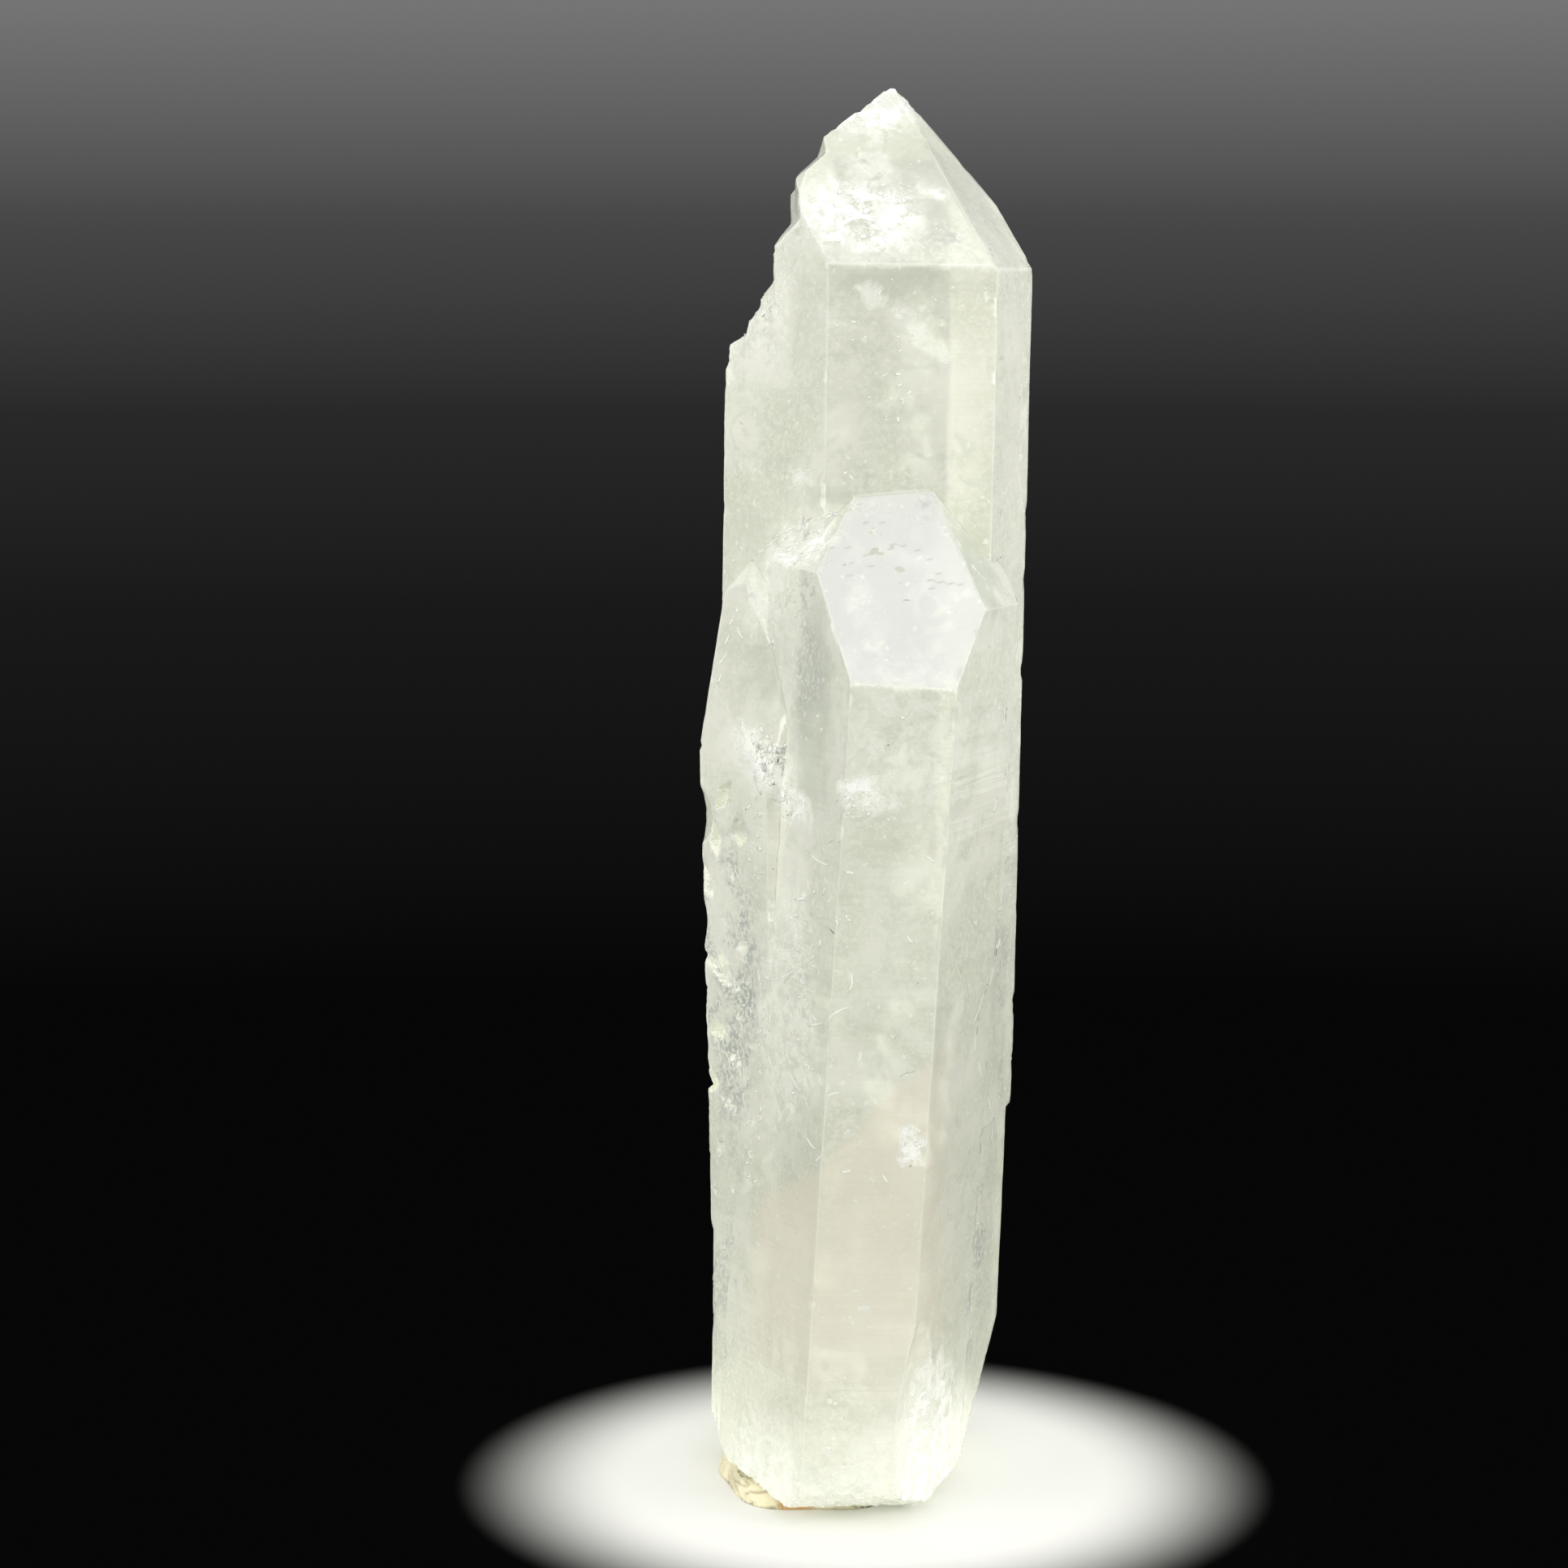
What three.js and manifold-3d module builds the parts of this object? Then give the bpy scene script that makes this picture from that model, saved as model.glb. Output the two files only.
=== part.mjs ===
// A faden quartz specimen: crystals grown together side by side, standing on a small pad of putty.
// Units are millimetres, +Z is up and the side with the large sloping facet faces -Y.
// The origin is on the standing surface, under the middle of the specimen's outline.
import * as THREE from "three";
import { mergeVertices } from "three/addons/utils/BufferGeometryUtils.js";
import Module from "manifold-3d";

const wasm = await Module();
wasm.setup();

// Quartz: every tip facet slopes at this angle to the crystal's long axis, in degrees.
const TIP_SLOPE = 38.2;
// The room between the crystal and the putty that it is pressed into.
const PUTTY_GAP = 0.35;
// A block this large reaches past the whole specimen from any of its faces.
const BLOCK = 260;

// A facet's azimuth is counted from -Y towards +X, in degrees. Its reach is the distance from the
// crystal's axis to the prism face, and its shoulder the height where the tip facet starts.
// A crystal's lean is how far its axis leans to +X, in degrees, about its centre.
const MAIN_CRYSTAL = {
  centre: [0.8, 4.8, 88],
  lean: 0.9,
  facets: [
    { azimuth: 8, reach: 8.1, shoulder: 87.9 },
    { azimuth: 68, reach: 10.2, shoulder: 87.6 },
    { azimuth: 128, reach: 8.7, shoulder: 92.0 },
    { azimuth: 188, reach: 7.5, shoulder: 92.5 },
    { azimuth: 248, reach: 10.1, shoulder: 87.6 },
    { azimuth: 308, reach: 8.2, shoulder: 92.0 },
  ],
};
const FRONT_CRYSTAL = {
  centre: [2.3, -5.7, 60],
  lean: 3.4,
  facets: [
    { azimuth: 2, reach: 7.1, shoulder: 59.7 },
    { azimuth: 66, reach: 6.1, shoulder: 64.8 },
    { azimuth: 124, reach: 8.4, shoulder: 70.0 },
    { azimuth: 182, reach: 8.0, shoulder: 80.0 },
    { azimuth: 242, reach: 10.4, shoulder: 72.0 },
    { azimuth: 297, reach: 6.5, shoulder: 66.6 },
  ],
};
const SIDE_CRYSTAL = {
  centre: [-5.5, 3.8, 54],
  lean: -1.2,
  facets: [
    { azimuth: 0, reach: 8.6, shoulder: 58 },
    { azimuth: 60, reach: 8.0, shoulder: 70 },
    { azimuth: 120, reach: 8.0, shoulder: 70 },
    { azimuth: 180, reach: 7.4, shoulder: 62 },
    { azimuth: 240, reach: 5.4, shoulder: 62 },
    { azimuth: 300, reach: 5.75, shoulder: 63 },
  ],
};

// Steep growth faces that narrow the side crystal towards its top.
const SIDE_TAPERS = [
  { azimuth: 270, slope: 9.4, through: [-11.75, 3, 54.5] },
  { azimuth: 312, slope: 12, through: [-9.6, -1.0, 55.0] },
];

// Broken ledges down the upper left of the main crystal. Each has its inner corner at x and z, a wall
// above it that is turned about +Z, and a floor that droops to the left, in degrees.
const LEDGE_DEPTH = 4;
const LEDGES = [
  { x: -2.5, z: 97.2, turn: -24, droop: 46 },
  { x: -3.3, z: 95.3, turn: 12, droop: 38 },
  { x: -4.4, z: 93.2, turn: -16, droop: 30 },
  { x: -5.3, z: 90.6, turn: 6, droop: 48 },
  { x: -5.7, z: 87.0, turn: -20, droop: 36 },
  { x: -7.0, z: 85.0, turn: 9, droop: 42 },
  { x: -8.4, z: 82.9, turn: -12, droop: 28 },
  { x: -9.7, z: 81.0, turn: 4, droop: 64 },
];

// Scooped chips: the middle and the half sizes of the rounded bite, and its turn about +Z in degrees.
const LEFT_SCOOPS = [
  { middle: [-13.2, 2.0, 48.3], half: [2.2, 7, 3.4], turn: 12 },
  { middle: [-13.4, 4.0, 40.6], half: [2.1, 8, 3.0], turn: -8 },
  { middle: [-13.7, 1.0, 26.5], half: [2.3, 6, 4.6], turn: 16 },
  { middle: [-13.6, 3.0, 16.0], half: [2.8, 9, 4.6], turn: 0 },
  { middle: [-11.6, -4.0, 33.0], half: [2.3, 3.0, 6.5], turn: 30 },
  { middle: [-10.9, -4.4, 20.5], half: [2.2, 2.6, 5.2], turn: 36 },
];
const BASE_SCOOPS = [
  { middle: [6.6, -12.3, 4.5], half: [5.2, 4.1, 14.5], turn: 36 },
  { middle: [13.6, 1.0, 3.0], half: [5.2, 9.0, 5.4], turn: 10 },
  { middle: [8.4, 12.0, 1.0], half: [6.0, 4.2, 5.0], turn: -12 },
  { middle: [-2.5, -14.8, 0.6], half: [5.5, 3.6, 2.6], turn: 0 },
  { middle: [2.0, -11.0, 0.2], half: [1.6, 3.4, 1.5], turn: 24 },
  { middle: [-9.0, 12.6, 0.0], half: [5.0, 4.4, 4.0], turn: 18 },
];

// Flat breaks at the foot: a point on each and the way that it faces.
const BASE_BREAKS = [
  { through: [3.0, 0, 0], facing: [-0.153, 0, -0.988] },
  { through: [9.8, 0, 9.4], facing: [0.94, 0.05, -0.34] },
  { through: [4.6, 0, 0.2], facing: [0.5, -0.1, -0.86] },
  { through: [0, -12.6, 2.5], facing: [0.06, -0.42, -0.91] },
  { through: [-11.2, 0, 4.4], facing: [-0.93, -0.1, -0.36] },
];

// The main crystal's right side narrows downwards from this point on its outline.
const RIGHT_TAPER = { through: [11.75, 4.9, 51], azimuth: 68, slope: -2.2 };
// A shallow step on that face: below its slanting edge the face is set back.
const RIGHT_STEP = { edge: [9.6, -1.0, 25.8], setback: 0.4, dip: 20 };

// Rough little breaks in the fractured zone on the left side.
const FRACTURE = { count: 18, lowest: 20, highest: 51, size: [2.2, 1.6, 3.4], depth: 0.62 };

const PUTTY = { middle: [-3.7, 0.1], half: [6.8, 7.9, 3.7], folds: 5, foldDepth: 0.06 };

const radians = THREE.MathUtils.degToRad;

// A closed mesh as a solid that can be cut and joined.
function solidOf(geometry) {
  geometry.deleteAttribute("normal");
  geometry.deleteAttribute("uv");
  const merged = mergeVertices(geometry, 1e-4);
  return new wasm.Manifold(
    new wasm.Mesh({
      numProp: 3,
      vertProperties: merged.attributes.position.array,
      triVerts: new Uint32Array(merged.index.array),
    }),
  );
}

// The surface of a solid, for a mesh in the scene graph.
function geometryOf(solid) {
  const mesh = solid.getMesh();
  const geometry = new THREE.BufferGeometry();
  geometry.setAttribute("position", new THREE.BufferAttribute(mesh.vertProperties, 3));
  geometry.setIndex(new THREE.BufferAttribute(mesh.triVerts, 1));
  geometry.computeVertexNormals();
  return geometry;
}

// The direction that a facet faces, from its azimuth and its angle above the level.
function facing(azimuth, above = 0) {
  const a = radians(azimuth);
  const up = radians(above);
  return new THREE.Vector3(Math.sin(a) * Math.cos(up), -Math.cos(a) * Math.cos(up), Math.sin(up));
}

// Everything beyond a flat face, within the block's reach.
function beyond(point, normal) {
  const upright = new THREE.Vector3(0, 0, 1);
  const block = new THREE.BoxGeometry(BLOCK, BLOCK, BLOCK);
  block.translate(0, 0, BLOCK / 2);
  block.applyQuaternion(new THREE.Quaternion().setFromUnitVectors(upright, normal.clone().normalize()));
  block.translate(point.x, point.y, point.z);
  return solidOf(block);
}

// What is left of a solid behind a flat face.
function cutFlat(solid, point, normal) {
  return solid.subtract(beyond(point, normal));
}

// What is left of a solid when the corner beyond two flat faces is broken out of it.
function cutCorner(solid, point, wall, floor) {
  return solid.subtract(cutFlat(beyond(point, wall), point, floor));
}

// One quartz crystal: a leaning prism with a tip facet over each of its six sides.
function makeCrystal({ centre, lean, facets }) {
  const middle = new THREE.Vector3(...centre);
  const leaning = new THREE.Matrix4().makeRotationY(radians(lean));
  let crystal = solidOf(new THREE.BoxGeometry(BLOCK / 2, BLOCK / 2, BLOCK));
  for (const { azimuth, reach, shoulder } of facets) {
    const side = facing(azimuth).applyMatrix4(leaning);
    const tip = facing(azimuth, TIP_SLOPE).applyMatrix4(leaning);
    const edge = facing(azimuth).multiplyScalar(reach);
    edge.z = shoulder - middle.z;
    edge.applyMatrix4(leaning).add(middle);
    crystal = cutFlat(cutFlat(crystal, edge, side), edge, tip);
  }
  return crystal;
}

// The slender crystal on the left, narrowed by its steep upper faces.
function makeSideCrystal() {
  return SIDE_TAPERS.reduce(
    (crystal, { azimuth, slope, through }) =>
      cutFlat(crystal, new THREE.Vector3(...through), facing(azimuth, slope)),
    makeCrystal(SIDE_CRYSTAL),
  );
}

// A ledge left by a break: everything left of its wall and above its drooping floor is gone.
function cutLedge(solid, { x, z, turn, droop }) {
  const corner = new THREE.Vector3(x, LEDGE_DEPTH, z);
  const vertical = new THREE.Vector3(0, 0, 1);
  const wall = new THREE.Vector3(-1, 0, 0).applyAxisAngle(vertical, radians(turn));
  const floor = new THREE.Vector3(Math.sin(radians(droop)), 0, -Math.cos(radians(droop)));
  return cutCorner(solid, corner, wall, floor.applyAxisAngle(vertical, radians(turn / 2)));
}

// A conchoidal chip: a rounded bite with a few flat shell-like facets.
function cutScoop(solid, { middle, half, turn }) {
  const bite = new THREE.IcosahedronGeometry(1, 3);
  bite.scale(...half);
  bite.rotateZ(radians(turn));
  bite.translate(...middle);
  return solid.subtract(solidOf(bite));
}

// The main crystal's narrowing right side, with its shallow step.
function cutRightSide(solid) {
  const outward = facing(RIGHT_TAPER.azimuth, RIGHT_TAPER.slope);
  const tapered = cutFlat(solid, new THREE.Vector3(...RIGHT_TAPER.through), outward);
  const edge = new THREE.Vector3(...RIGHT_STEP.edge);
  const face = new THREE.Vector3(...RIGHT_TAPER.through);
  const proud = edge.clone().sub(face).dot(outward);
  edge.addScaledVector(outward, -proud - RIGHT_STEP.setback);
  const above = new THREE.Vector3(-Math.sin(radians(RIGHT_STEP.dip)), 0, Math.cos(radians(RIGHT_STEP.dip)));
  return cutCorner(tapered, edge, outward, above);
}

// The rough zone on the left: small tilted bites spread over the face by a fixed rule.
function cutFracture(solid) {
  const { count, lowest, highest, size, depth } = FRACTURE;
  const golden = 0.618;
  const wall = facing(300);
  const along = new THREE.Vector3(-wall.y, wall.x, 0);
  const anchor = new THREE.Vector3(-10.3, 0.6, 0);
  let broken = solid;
  for (let i = 0; i < count; i += 1) {
    const spread = (i * golden) % 1;
    const bite = new THREE.OctahedronGeometry(1);
    bite.scale(...size);
    bite.rotateX(spread * 2.1 + i);
    bite.rotateZ(i * 1.7);
    const place = anchor
      .clone()
      .addScaledVector(along, (spread - 0.5) * 6)
      .addScaledVector(wall, size[1] - depth);
    bite.translate(place.x, place.y, lowest + ((highest - lowest) * (i + 0.5)) / count);
    broken = broken.subtract(solidOf(bite));
  }
  return broken;
}

// The broken foot, level where it stands and rising to the left above the putty.
function cutBase(solid) {
  const level = cutFlat(solid, new THREE.Vector3(0, 0, 0), new THREE.Vector3(0, 0, -1));
  const broken = BASE_BREAKS.reduce(
    (piece, face) =>
      cutFlat(piece, new THREE.Vector3(...face.through), new THREE.Vector3(...face.facing)),
    level,
  );
  return BASE_SCOOPS.reduce(cutScoop, broken);
}

// The whole specimen as one piece of quartz.
function makeQuartz() {
  const brokenMain = LEDGES.reduce(cutLedge, cutRightSide(makeCrystal(MAIN_CRYSTAL)));
  const chippedSide = cutFracture(LEFT_SCOOPS.reduce(cutScoop, makeSideCrystal()));
  const grown = brokenMain.add(makeCrystal(FRONT_CRYSTAL)).add(chippedSide);
  return cutBase(grown);
}

// The pad of putty: a squashed lump, flat below, with the crystal's foot pressed into it.
function makePutty(quartz) {
  const { middle, half, folds, foldDepth } = PUTTY;
  const lump = new THREE.IcosahedronGeometry(1, 7);
  const points = lump.attributes.position;
  for (let i = 0; i < points.count; i += 1) {
    const turn = Math.atan2(points.getY(i), points.getX(i));
    const swell = 1 + foldDepth * Math.sin(folds * turn + 2 * points.getZ(i));
    points.setXYZ(
      i,
      middle[0] + half[0] * points.getX(i) * swell,
      middle[1] + half[1] * points.getY(i) * swell,
      half[2] * points.getZ(i),
    );
  }
  const below = new THREE.Vector3(0, 0, -1);
  let pad = cutFlat(solidOf(lump), new THREE.Vector3(0, 0, 0), below);
  const pressed = [
    [0, 0, -PUTTY_GAP],
    [PUTTY_GAP, 0, 0],
    [-PUTTY_GAP, 0, 0],
    [0, PUTTY_GAP, 0],
    [0, -PUTTY_GAP, 0],
  ];
  for (const shift of pressed) pad = pad.subtract(quartz.translate(shift));
  return pad.decompose().sort((a, b) => b.volume() - a.volume())[0];
}

const quartz = makeQuartz();
const putty = makePutty(quartz);

const crystalMesh = new THREE.Mesh(
  geometryOf(quartz),
  new THREE.MeshStandardMaterial({
    color: 0xdfe0d6,
    roughness: 0.08,
    metalness: 0,
    transparent: true,
    opacity: 0.6,
    flatShading: true,
  }),
);
crystalMesh.name = "crystal";

const puttyMesh = new THREE.Mesh(
  geometryOf(putty),
  new THREE.MeshStandardMaterial({ color: 0x8f8a66, roughness: 0.75, metalness: 0 }),
);
puttyMesh.name = "putty";

const specimen = new THREE.Group();
specimen.add(crystalMesh, puttyMesh);
export default specimen;
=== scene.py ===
"""Dresses a faden quartz specimen: a fine crystal surface, the veils inside it, its putty and a studio."""

from __future__ import annotations

import logging
import math
import random
from dataclasses import dataclass
from enum import Enum

import bmesh
import bpy
from mathutils import Matrix, Vector, noise
from mathutils.bvhtree import BVHTree

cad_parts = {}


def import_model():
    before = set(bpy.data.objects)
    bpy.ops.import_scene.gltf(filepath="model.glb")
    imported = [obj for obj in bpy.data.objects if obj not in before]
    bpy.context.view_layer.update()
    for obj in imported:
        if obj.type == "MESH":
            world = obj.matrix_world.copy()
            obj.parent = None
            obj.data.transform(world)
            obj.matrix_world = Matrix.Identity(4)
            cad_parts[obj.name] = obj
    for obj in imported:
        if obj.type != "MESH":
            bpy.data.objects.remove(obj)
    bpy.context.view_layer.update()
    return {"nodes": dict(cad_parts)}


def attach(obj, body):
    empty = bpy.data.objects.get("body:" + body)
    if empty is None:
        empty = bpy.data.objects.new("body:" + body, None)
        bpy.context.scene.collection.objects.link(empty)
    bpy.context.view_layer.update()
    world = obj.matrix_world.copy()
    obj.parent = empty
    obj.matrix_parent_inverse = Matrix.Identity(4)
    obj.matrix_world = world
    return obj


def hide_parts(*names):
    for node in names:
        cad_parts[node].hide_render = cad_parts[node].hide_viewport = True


LOG = logging.getLogger("faden_quartz")

MM = 0.001
JOIN_DISTANCE = 0.002
HILL_TOP = 0.45
NOISE_SEED = 1
ROOT = "root"

Colour = tuple[float, float, float]


class Node(Enum):
    """The solids of the frame that this scene dresses."""

    CRYSTAL = "crystal"
    PUTTY = "putty"


class Slot(Enum):
    """The record's material slots."""

    QUARTZ = "quartz"
    PUTTY = "putty"


def blend_in(value: float, low: float, high: float) -> float:
    """Gives 0 at low, 1 at high and a smooth rise between them.

    Args:
        value: The number that is looked up.
        low: Where the rise starts.
        high: Where the rise ends; it may be less than low.

    Returns:
        A share from 0 to 1.
    """
    t = min(1.0, max(0.0, (value - low) / (high - low)))
    return t * t * (3.0 - 2.0 * t)


def hill(at: Vector, middle: Vector, half: Vector) -> float:
    """Gives 1 in the middle of an ellipsoid and 0 outside it.

    Args:
        at: The point that is looked up.
        middle: The ellipsoid's middle.
        half: Its half sizes.

    Returns:
        A share from 0 to 1.
    """
    offset = at - middle
    reach = math.sqrt(sum((offset[i] / half[i]) ** 2 for i in range(3)))
    return blend_in(reach, 1.0, HILL_TOP)


def load_in_mm(source: bpy.types.Object) -> bmesh.types.BMesh:
    """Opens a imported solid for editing, with its loose corners joined.

    Args:
        source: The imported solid.

    Returns:
        The mesh, in millimetres.
    """
    bm = bmesh.new()
    bm.from_mesh(source.data)
    bmesh.ops.scale(bm, vec=Vector((1.0, 1.0, 1.0)) / MM, verts=bm.verts)
    bmesh.ops.remove_doubles(bm, verts=bm.verts, dist=JOIN_DISTANCE)
    return bm


def split_longer(bm: bmesh.types.BMesh, longer: list[bmesh.types.BMEdge]) -> None:
    """Halves some edges and cuts what isn't a triangle into triangles.

    Args:
        bm: The mesh that is being built.
        longer: The edges that are too long.
    """
    bmesh.ops.subdivide_edges(bm, edges=longer, cuts=1)
    bmesh.ops.triangulate(bm, faces=[f for f in bm.faces if len(f.verts) > 3])


def to_metres(bm: bmesh.types.BMesh) -> None:
    """Turns a mesh in millimetres into one in metres."""
    bmesh.ops.scale(bm, vec=Vector((MM, MM, MM)), verts=bm.verts)


def finished_piece(
    bm: bmesh.types.BMesh,
    name: str,
    material: bpy.types.Material,
    crease: float | None = None,
) -> bpy.types.Object:
    """Closes a mesh and puts it in the scene as a piece that rides on the root body.

    Args:
        bm: The mesh, in metres. It is freed.
        name: The piece's name.
        material: Its finish.
        crease: The angle in degrees from which an edge stays sharp, where there is one.

    Returns:
        The piece.
    """
    mesh = bpy.data.meshes.new(name)
    bm.to_mesh(mesh)
    bm.free()
    mesh.shade_smooth()
    if crease is not None:
        mesh.set_sharp_from_angle(angle=math.radians(crease))
    mesh.materials.clear()
    mesh.materials.append(material)
    piece = bpy.data.objects.new(name, mesh)
    bpy.context.scene.collection.objects.link(piece)
    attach(piece, ROOT)
    return piece


# Shader node groups


class Effects:
    """The shader node groups that several finishes share."""

    def __init__(self) -> None:
        """Builds each group once."""
        self.cloud = self._make_cloud()
        self.grain = self._make_grain()

    @staticmethod
    def _new_group(name: str, inputs: dict[str, float], outputs: list[str]) -> bpy.types.NodeTree:
        """Starts a group with a position input and plain number sockets.

        Args:
            name: The group's name.
            inputs: The number sockets and their first values.
            outputs: The names of the values that it gives out.

        Returns:
            The group's node tree, with its two end nodes.
        """
        tree = bpy.data.node_groups.new(name, "ShaderNodeTree")
        tree.interface.new_socket("Position", in_out="INPUT", socket_type="NodeSocketVector")
        for label, value in inputs.items():
            socket = tree.interface.new_socket(label, in_out="INPUT", socket_type="NodeSocketFloat")
            socket.default_value = value
        for label in outputs:
            tree.interface.new_socket(label, in_out="OUTPUT", socket_type="NodeSocketFloat")
        tree.nodes.new("NodeGroupInput").name = "In"
        tree.nodes.new("NodeGroupOutput").name = "Out"
        return tree

    def _make_cloud(self) -> bpy.types.NodeTree:
        """Makes soft patches, warped so that they look grown and not printed.

        Returns:
            A group that gives a Mask from Position, Scale, Detail, Warp, Low and High.
        """
        first = {"Scale": 200.0, "Detail": 3.0, "Warp": 0.8, "Low": 0.4, "High": 0.65}
        tree = self._new_group("Cloud", first, ["Mask"])
        source, out = tree.nodes["In"], tree.nodes["Out"]
        noise_node = tree.nodes.new("ShaderNodeTexNoise")
        ramp = tree.nodes.new("ShaderNodeMapRange")
        ramp.interpolation_type = "SMOOTHSTEP"
        tree.links.new(source.outputs["Position"], noise_node.inputs["Vector"])
        tree.links.new(source.outputs["Scale"], noise_node.inputs["Scale"])
        tree.links.new(source.outputs["Detail"], noise_node.inputs["Detail"])
        tree.links.new(source.outputs["Warp"], noise_node.inputs["Distortion"])
        tree.links.new(noise_node.outputs["Fac"], ramp.inputs["Value"])
        tree.links.new(source.outputs["Low"], ramp.inputs["From Min"])
        tree.links.new(source.outputs["High"], ramp.inputs["From Max"])
        tree.links.new(ramp.outputs["Result"], out.inputs["Mask"])
        return tree

    def _make_grain(self) -> bpy.types.NodeTree:
        """Makes the height of a fine rough surface.

        Returns:
            A group that gives a Height from Position, Scale and Amount.
        """
        tree = self._new_group("Grain", {"Scale": 2000.0, "Amount": 1.0}, ["Height"])
        source, out = tree.nodes["In"], tree.nodes["Out"]
        noise_node = tree.nodes.new("ShaderNodeTexNoise")
        noise_node.inputs["Detail"].default_value = 4.0
        scaled = tree.nodes.new("ShaderNodeMath")
        scaled.operation = "MULTIPLY"
        tree.links.new(source.outputs["Position"], noise_node.inputs["Vector"])
        tree.links.new(source.outputs["Scale"], noise_node.inputs["Scale"])
        tree.links.new(noise_node.outputs["Fac"], scaled.inputs[0])
        tree.links.new(source.outputs["Amount"], scaled.inputs[1])
        tree.links.new(scaled.outputs["Value"], out.inputs["Height"])
        return tree


@dataclass(frozen=True)
class Cloud:
    """The values of one layer of patches: their scale, how fine and how warped they are, and their cut."""

    scale: float
    detail: float
    low: float
    high: float
    warp: float = 0.8


class Paint:
    """A material that is being built: its nodes, its shader and short ways to join them."""

    def __init__(self, name: str, effects: Effects) -> None:
        """Makes an empty material with one Principled shader.

        Args:
            name: The material's name.
            effects: The shared node groups.
        """
        self.effects = effects
        self.material = bpy.data.materials.new(name)
        self.material.use_nodes = True
        self.nodes = self.material.node_tree.nodes
        self.links = self.material.node_tree.links
        self.shader = self.nodes["Principled BSDF"]
        self.output = self.nodes["Material Output"]
        self.position = self.nodes.new("ShaderNodeTexCoord").outputs["Object"]

    def plain(self, **values: float) -> None:
        """Sets plain values on the shader's own sockets, named with _ for a space."""
        for label, value in values.items():
            self.shader.inputs[label.replace("_", " ")].default_value = value

    def feed(self, label: str, value: bpy.types.NodeSocket) -> None:
        """Joins a socket to one of the shader's inputs."""
        self.links.new(value, self.shader.inputs[label])

    def effect(self, group: bpy.types.NodeTree, **values: float) -> bpy.types.Node:
        """Places a shared effect with its own values.

        Args:
            group: The node group.
            **values: The group's inputs.

        Returns:
            The group node.
        """
        node = self.nodes.new("ShaderNodeGroup")
        node.node_tree = group
        self.links.new(self.position, node.inputs["Position"])
        for label, value in values.items():
            node.inputs[label].default_value = value
        return node

    def cloud(self, cloud: Cloud) -> bpy.types.NodeSocket:
        """Places a layer of patches.

        Args:
            cloud: Its values.

        Returns:
            The socket that gives its mask.
        """
        values = {"Scale": cloud.scale, "Detail": cloud.detail, "Warp": cloud.warp}
        return self.effect(self.effects.cloud, Low=cloud.low, High=cloud.high, **values).outputs["Mask"]

    def grain(self, scale: float) -> bpy.types.NodeSocket:
        """Places the fine rough surface at a scale, and gives its height."""
        return self.effect(self.effects.grain, Scale=scale, Amount=1.0).outputs["Height"]

    def mix(
        self, share: bpy.types.NodeSocket, a: Colour | bpy.types.NodeSocket, b: Colour
    ) -> bpy.types.NodeSocket:
        """Mixes two colours.

        Args:
            share: The socket that gives how much of b there is.
            a: The first colour, or a socket that gives it.
            b: The second colour.

        Returns:
            The mixed colour's socket.
        """
        node = self.nodes.new("ShaderNodeMix")
        node.data_type = "RGBA"
        self.links.new(share, node.inputs["Factor"])
        if isinstance(a, bpy.types.NodeSocket):
            self.links.new(a, node.inputs["A"])
        else:
            node.inputs["A"].default_value = (*a, 1.0)
        node.inputs["B"].default_value = (*b, 1.0)
        return node.outputs["Result"]

    def sum(self, a: bpy.types.NodeSocket, b: bpy.types.NodeSocket, times: float) -> bpy.types.NodeSocket:
        """Adds a value, times a plain number, to another.

        Args:
            a: The first value.
            b: The value that is added.
            times: What b is multiplied by.

        Returns:
            The socket of the sum.
        """
        node = self.nodes.new("ShaderNodeMath")
        node.operation = "MULTIPLY_ADD"
        self.links.new(b, node.inputs[0])
        node.inputs[1].default_value = times
        self.links.new(a, node.inputs[2])
        return node.outputs["Value"]

    def both(self, a: bpy.types.NodeSocket, b: bpy.types.NodeSocket) -> bpy.types.NodeSocket:
        """Multiplies two masks.

        Args:
            a: The first mask.
            b: The second mask.

        Returns:
            The socket that gives where both hold.
        """
        node = self.nodes.new("ShaderNodeMath")
        node.operation = "MULTIPLY"
        self.links.new(a, node.inputs[0])
        self.links.new(b, node.inputs[1])
        return node.outputs["Value"]

    def scaled(
        self, value: bpy.types.NodeSocket, low: float, high: float, at_low: float = 0.0, at_high: float = 1.0
    ) -> bpy.types.NodeSocket:
        """Maps a value onto another range, and holds it there.

        Args:
            value: The socket that gives the value.
            low: What it gives at at_low and below.
            high: What it gives at at_high and above.
            at_low: Where the value's own range starts.
            at_high: Where it ends.

        Returns:
            The socket of the mapped value.
        """
        node = self.nodes.new("ShaderNodeMapRange")
        self.links.new(value, node.inputs["Value"])
        node.inputs["From Min"].default_value = at_low
        node.inputs["From Max"].default_value = at_high
        node.inputs["To Min"].default_value = low
        node.inputs["To Max"].default_value = high
        return node.outputs["Result"]

    def attribute(self, name: str) -> bpy.types.NodeSocket:
        """Gives a mesh attribute's value."""
        node = self.nodes.new("ShaderNodeAttribute")
        node.attribute_name = name
        return node.outputs["Fac"]

    def bump(self, height: bpy.types.NodeSocket, distance: float, strength: float) -> None:
        """Feeds a height to the shader's normal.

        Args:
            height: The socket that gives the height.
            distance: How far the height reaches, in metres.
            strength: How much of it shows.
        """
        node = self.nodes.new("ShaderNodeBump")
        node.inputs["Distance"].default_value = distance
        node.inputs["Strength"].default_value = strength
        self.links.new(height, node.inputs["Height"])
        self.feed("Normal", node.outputs["Normal"])


# Finishes


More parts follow.
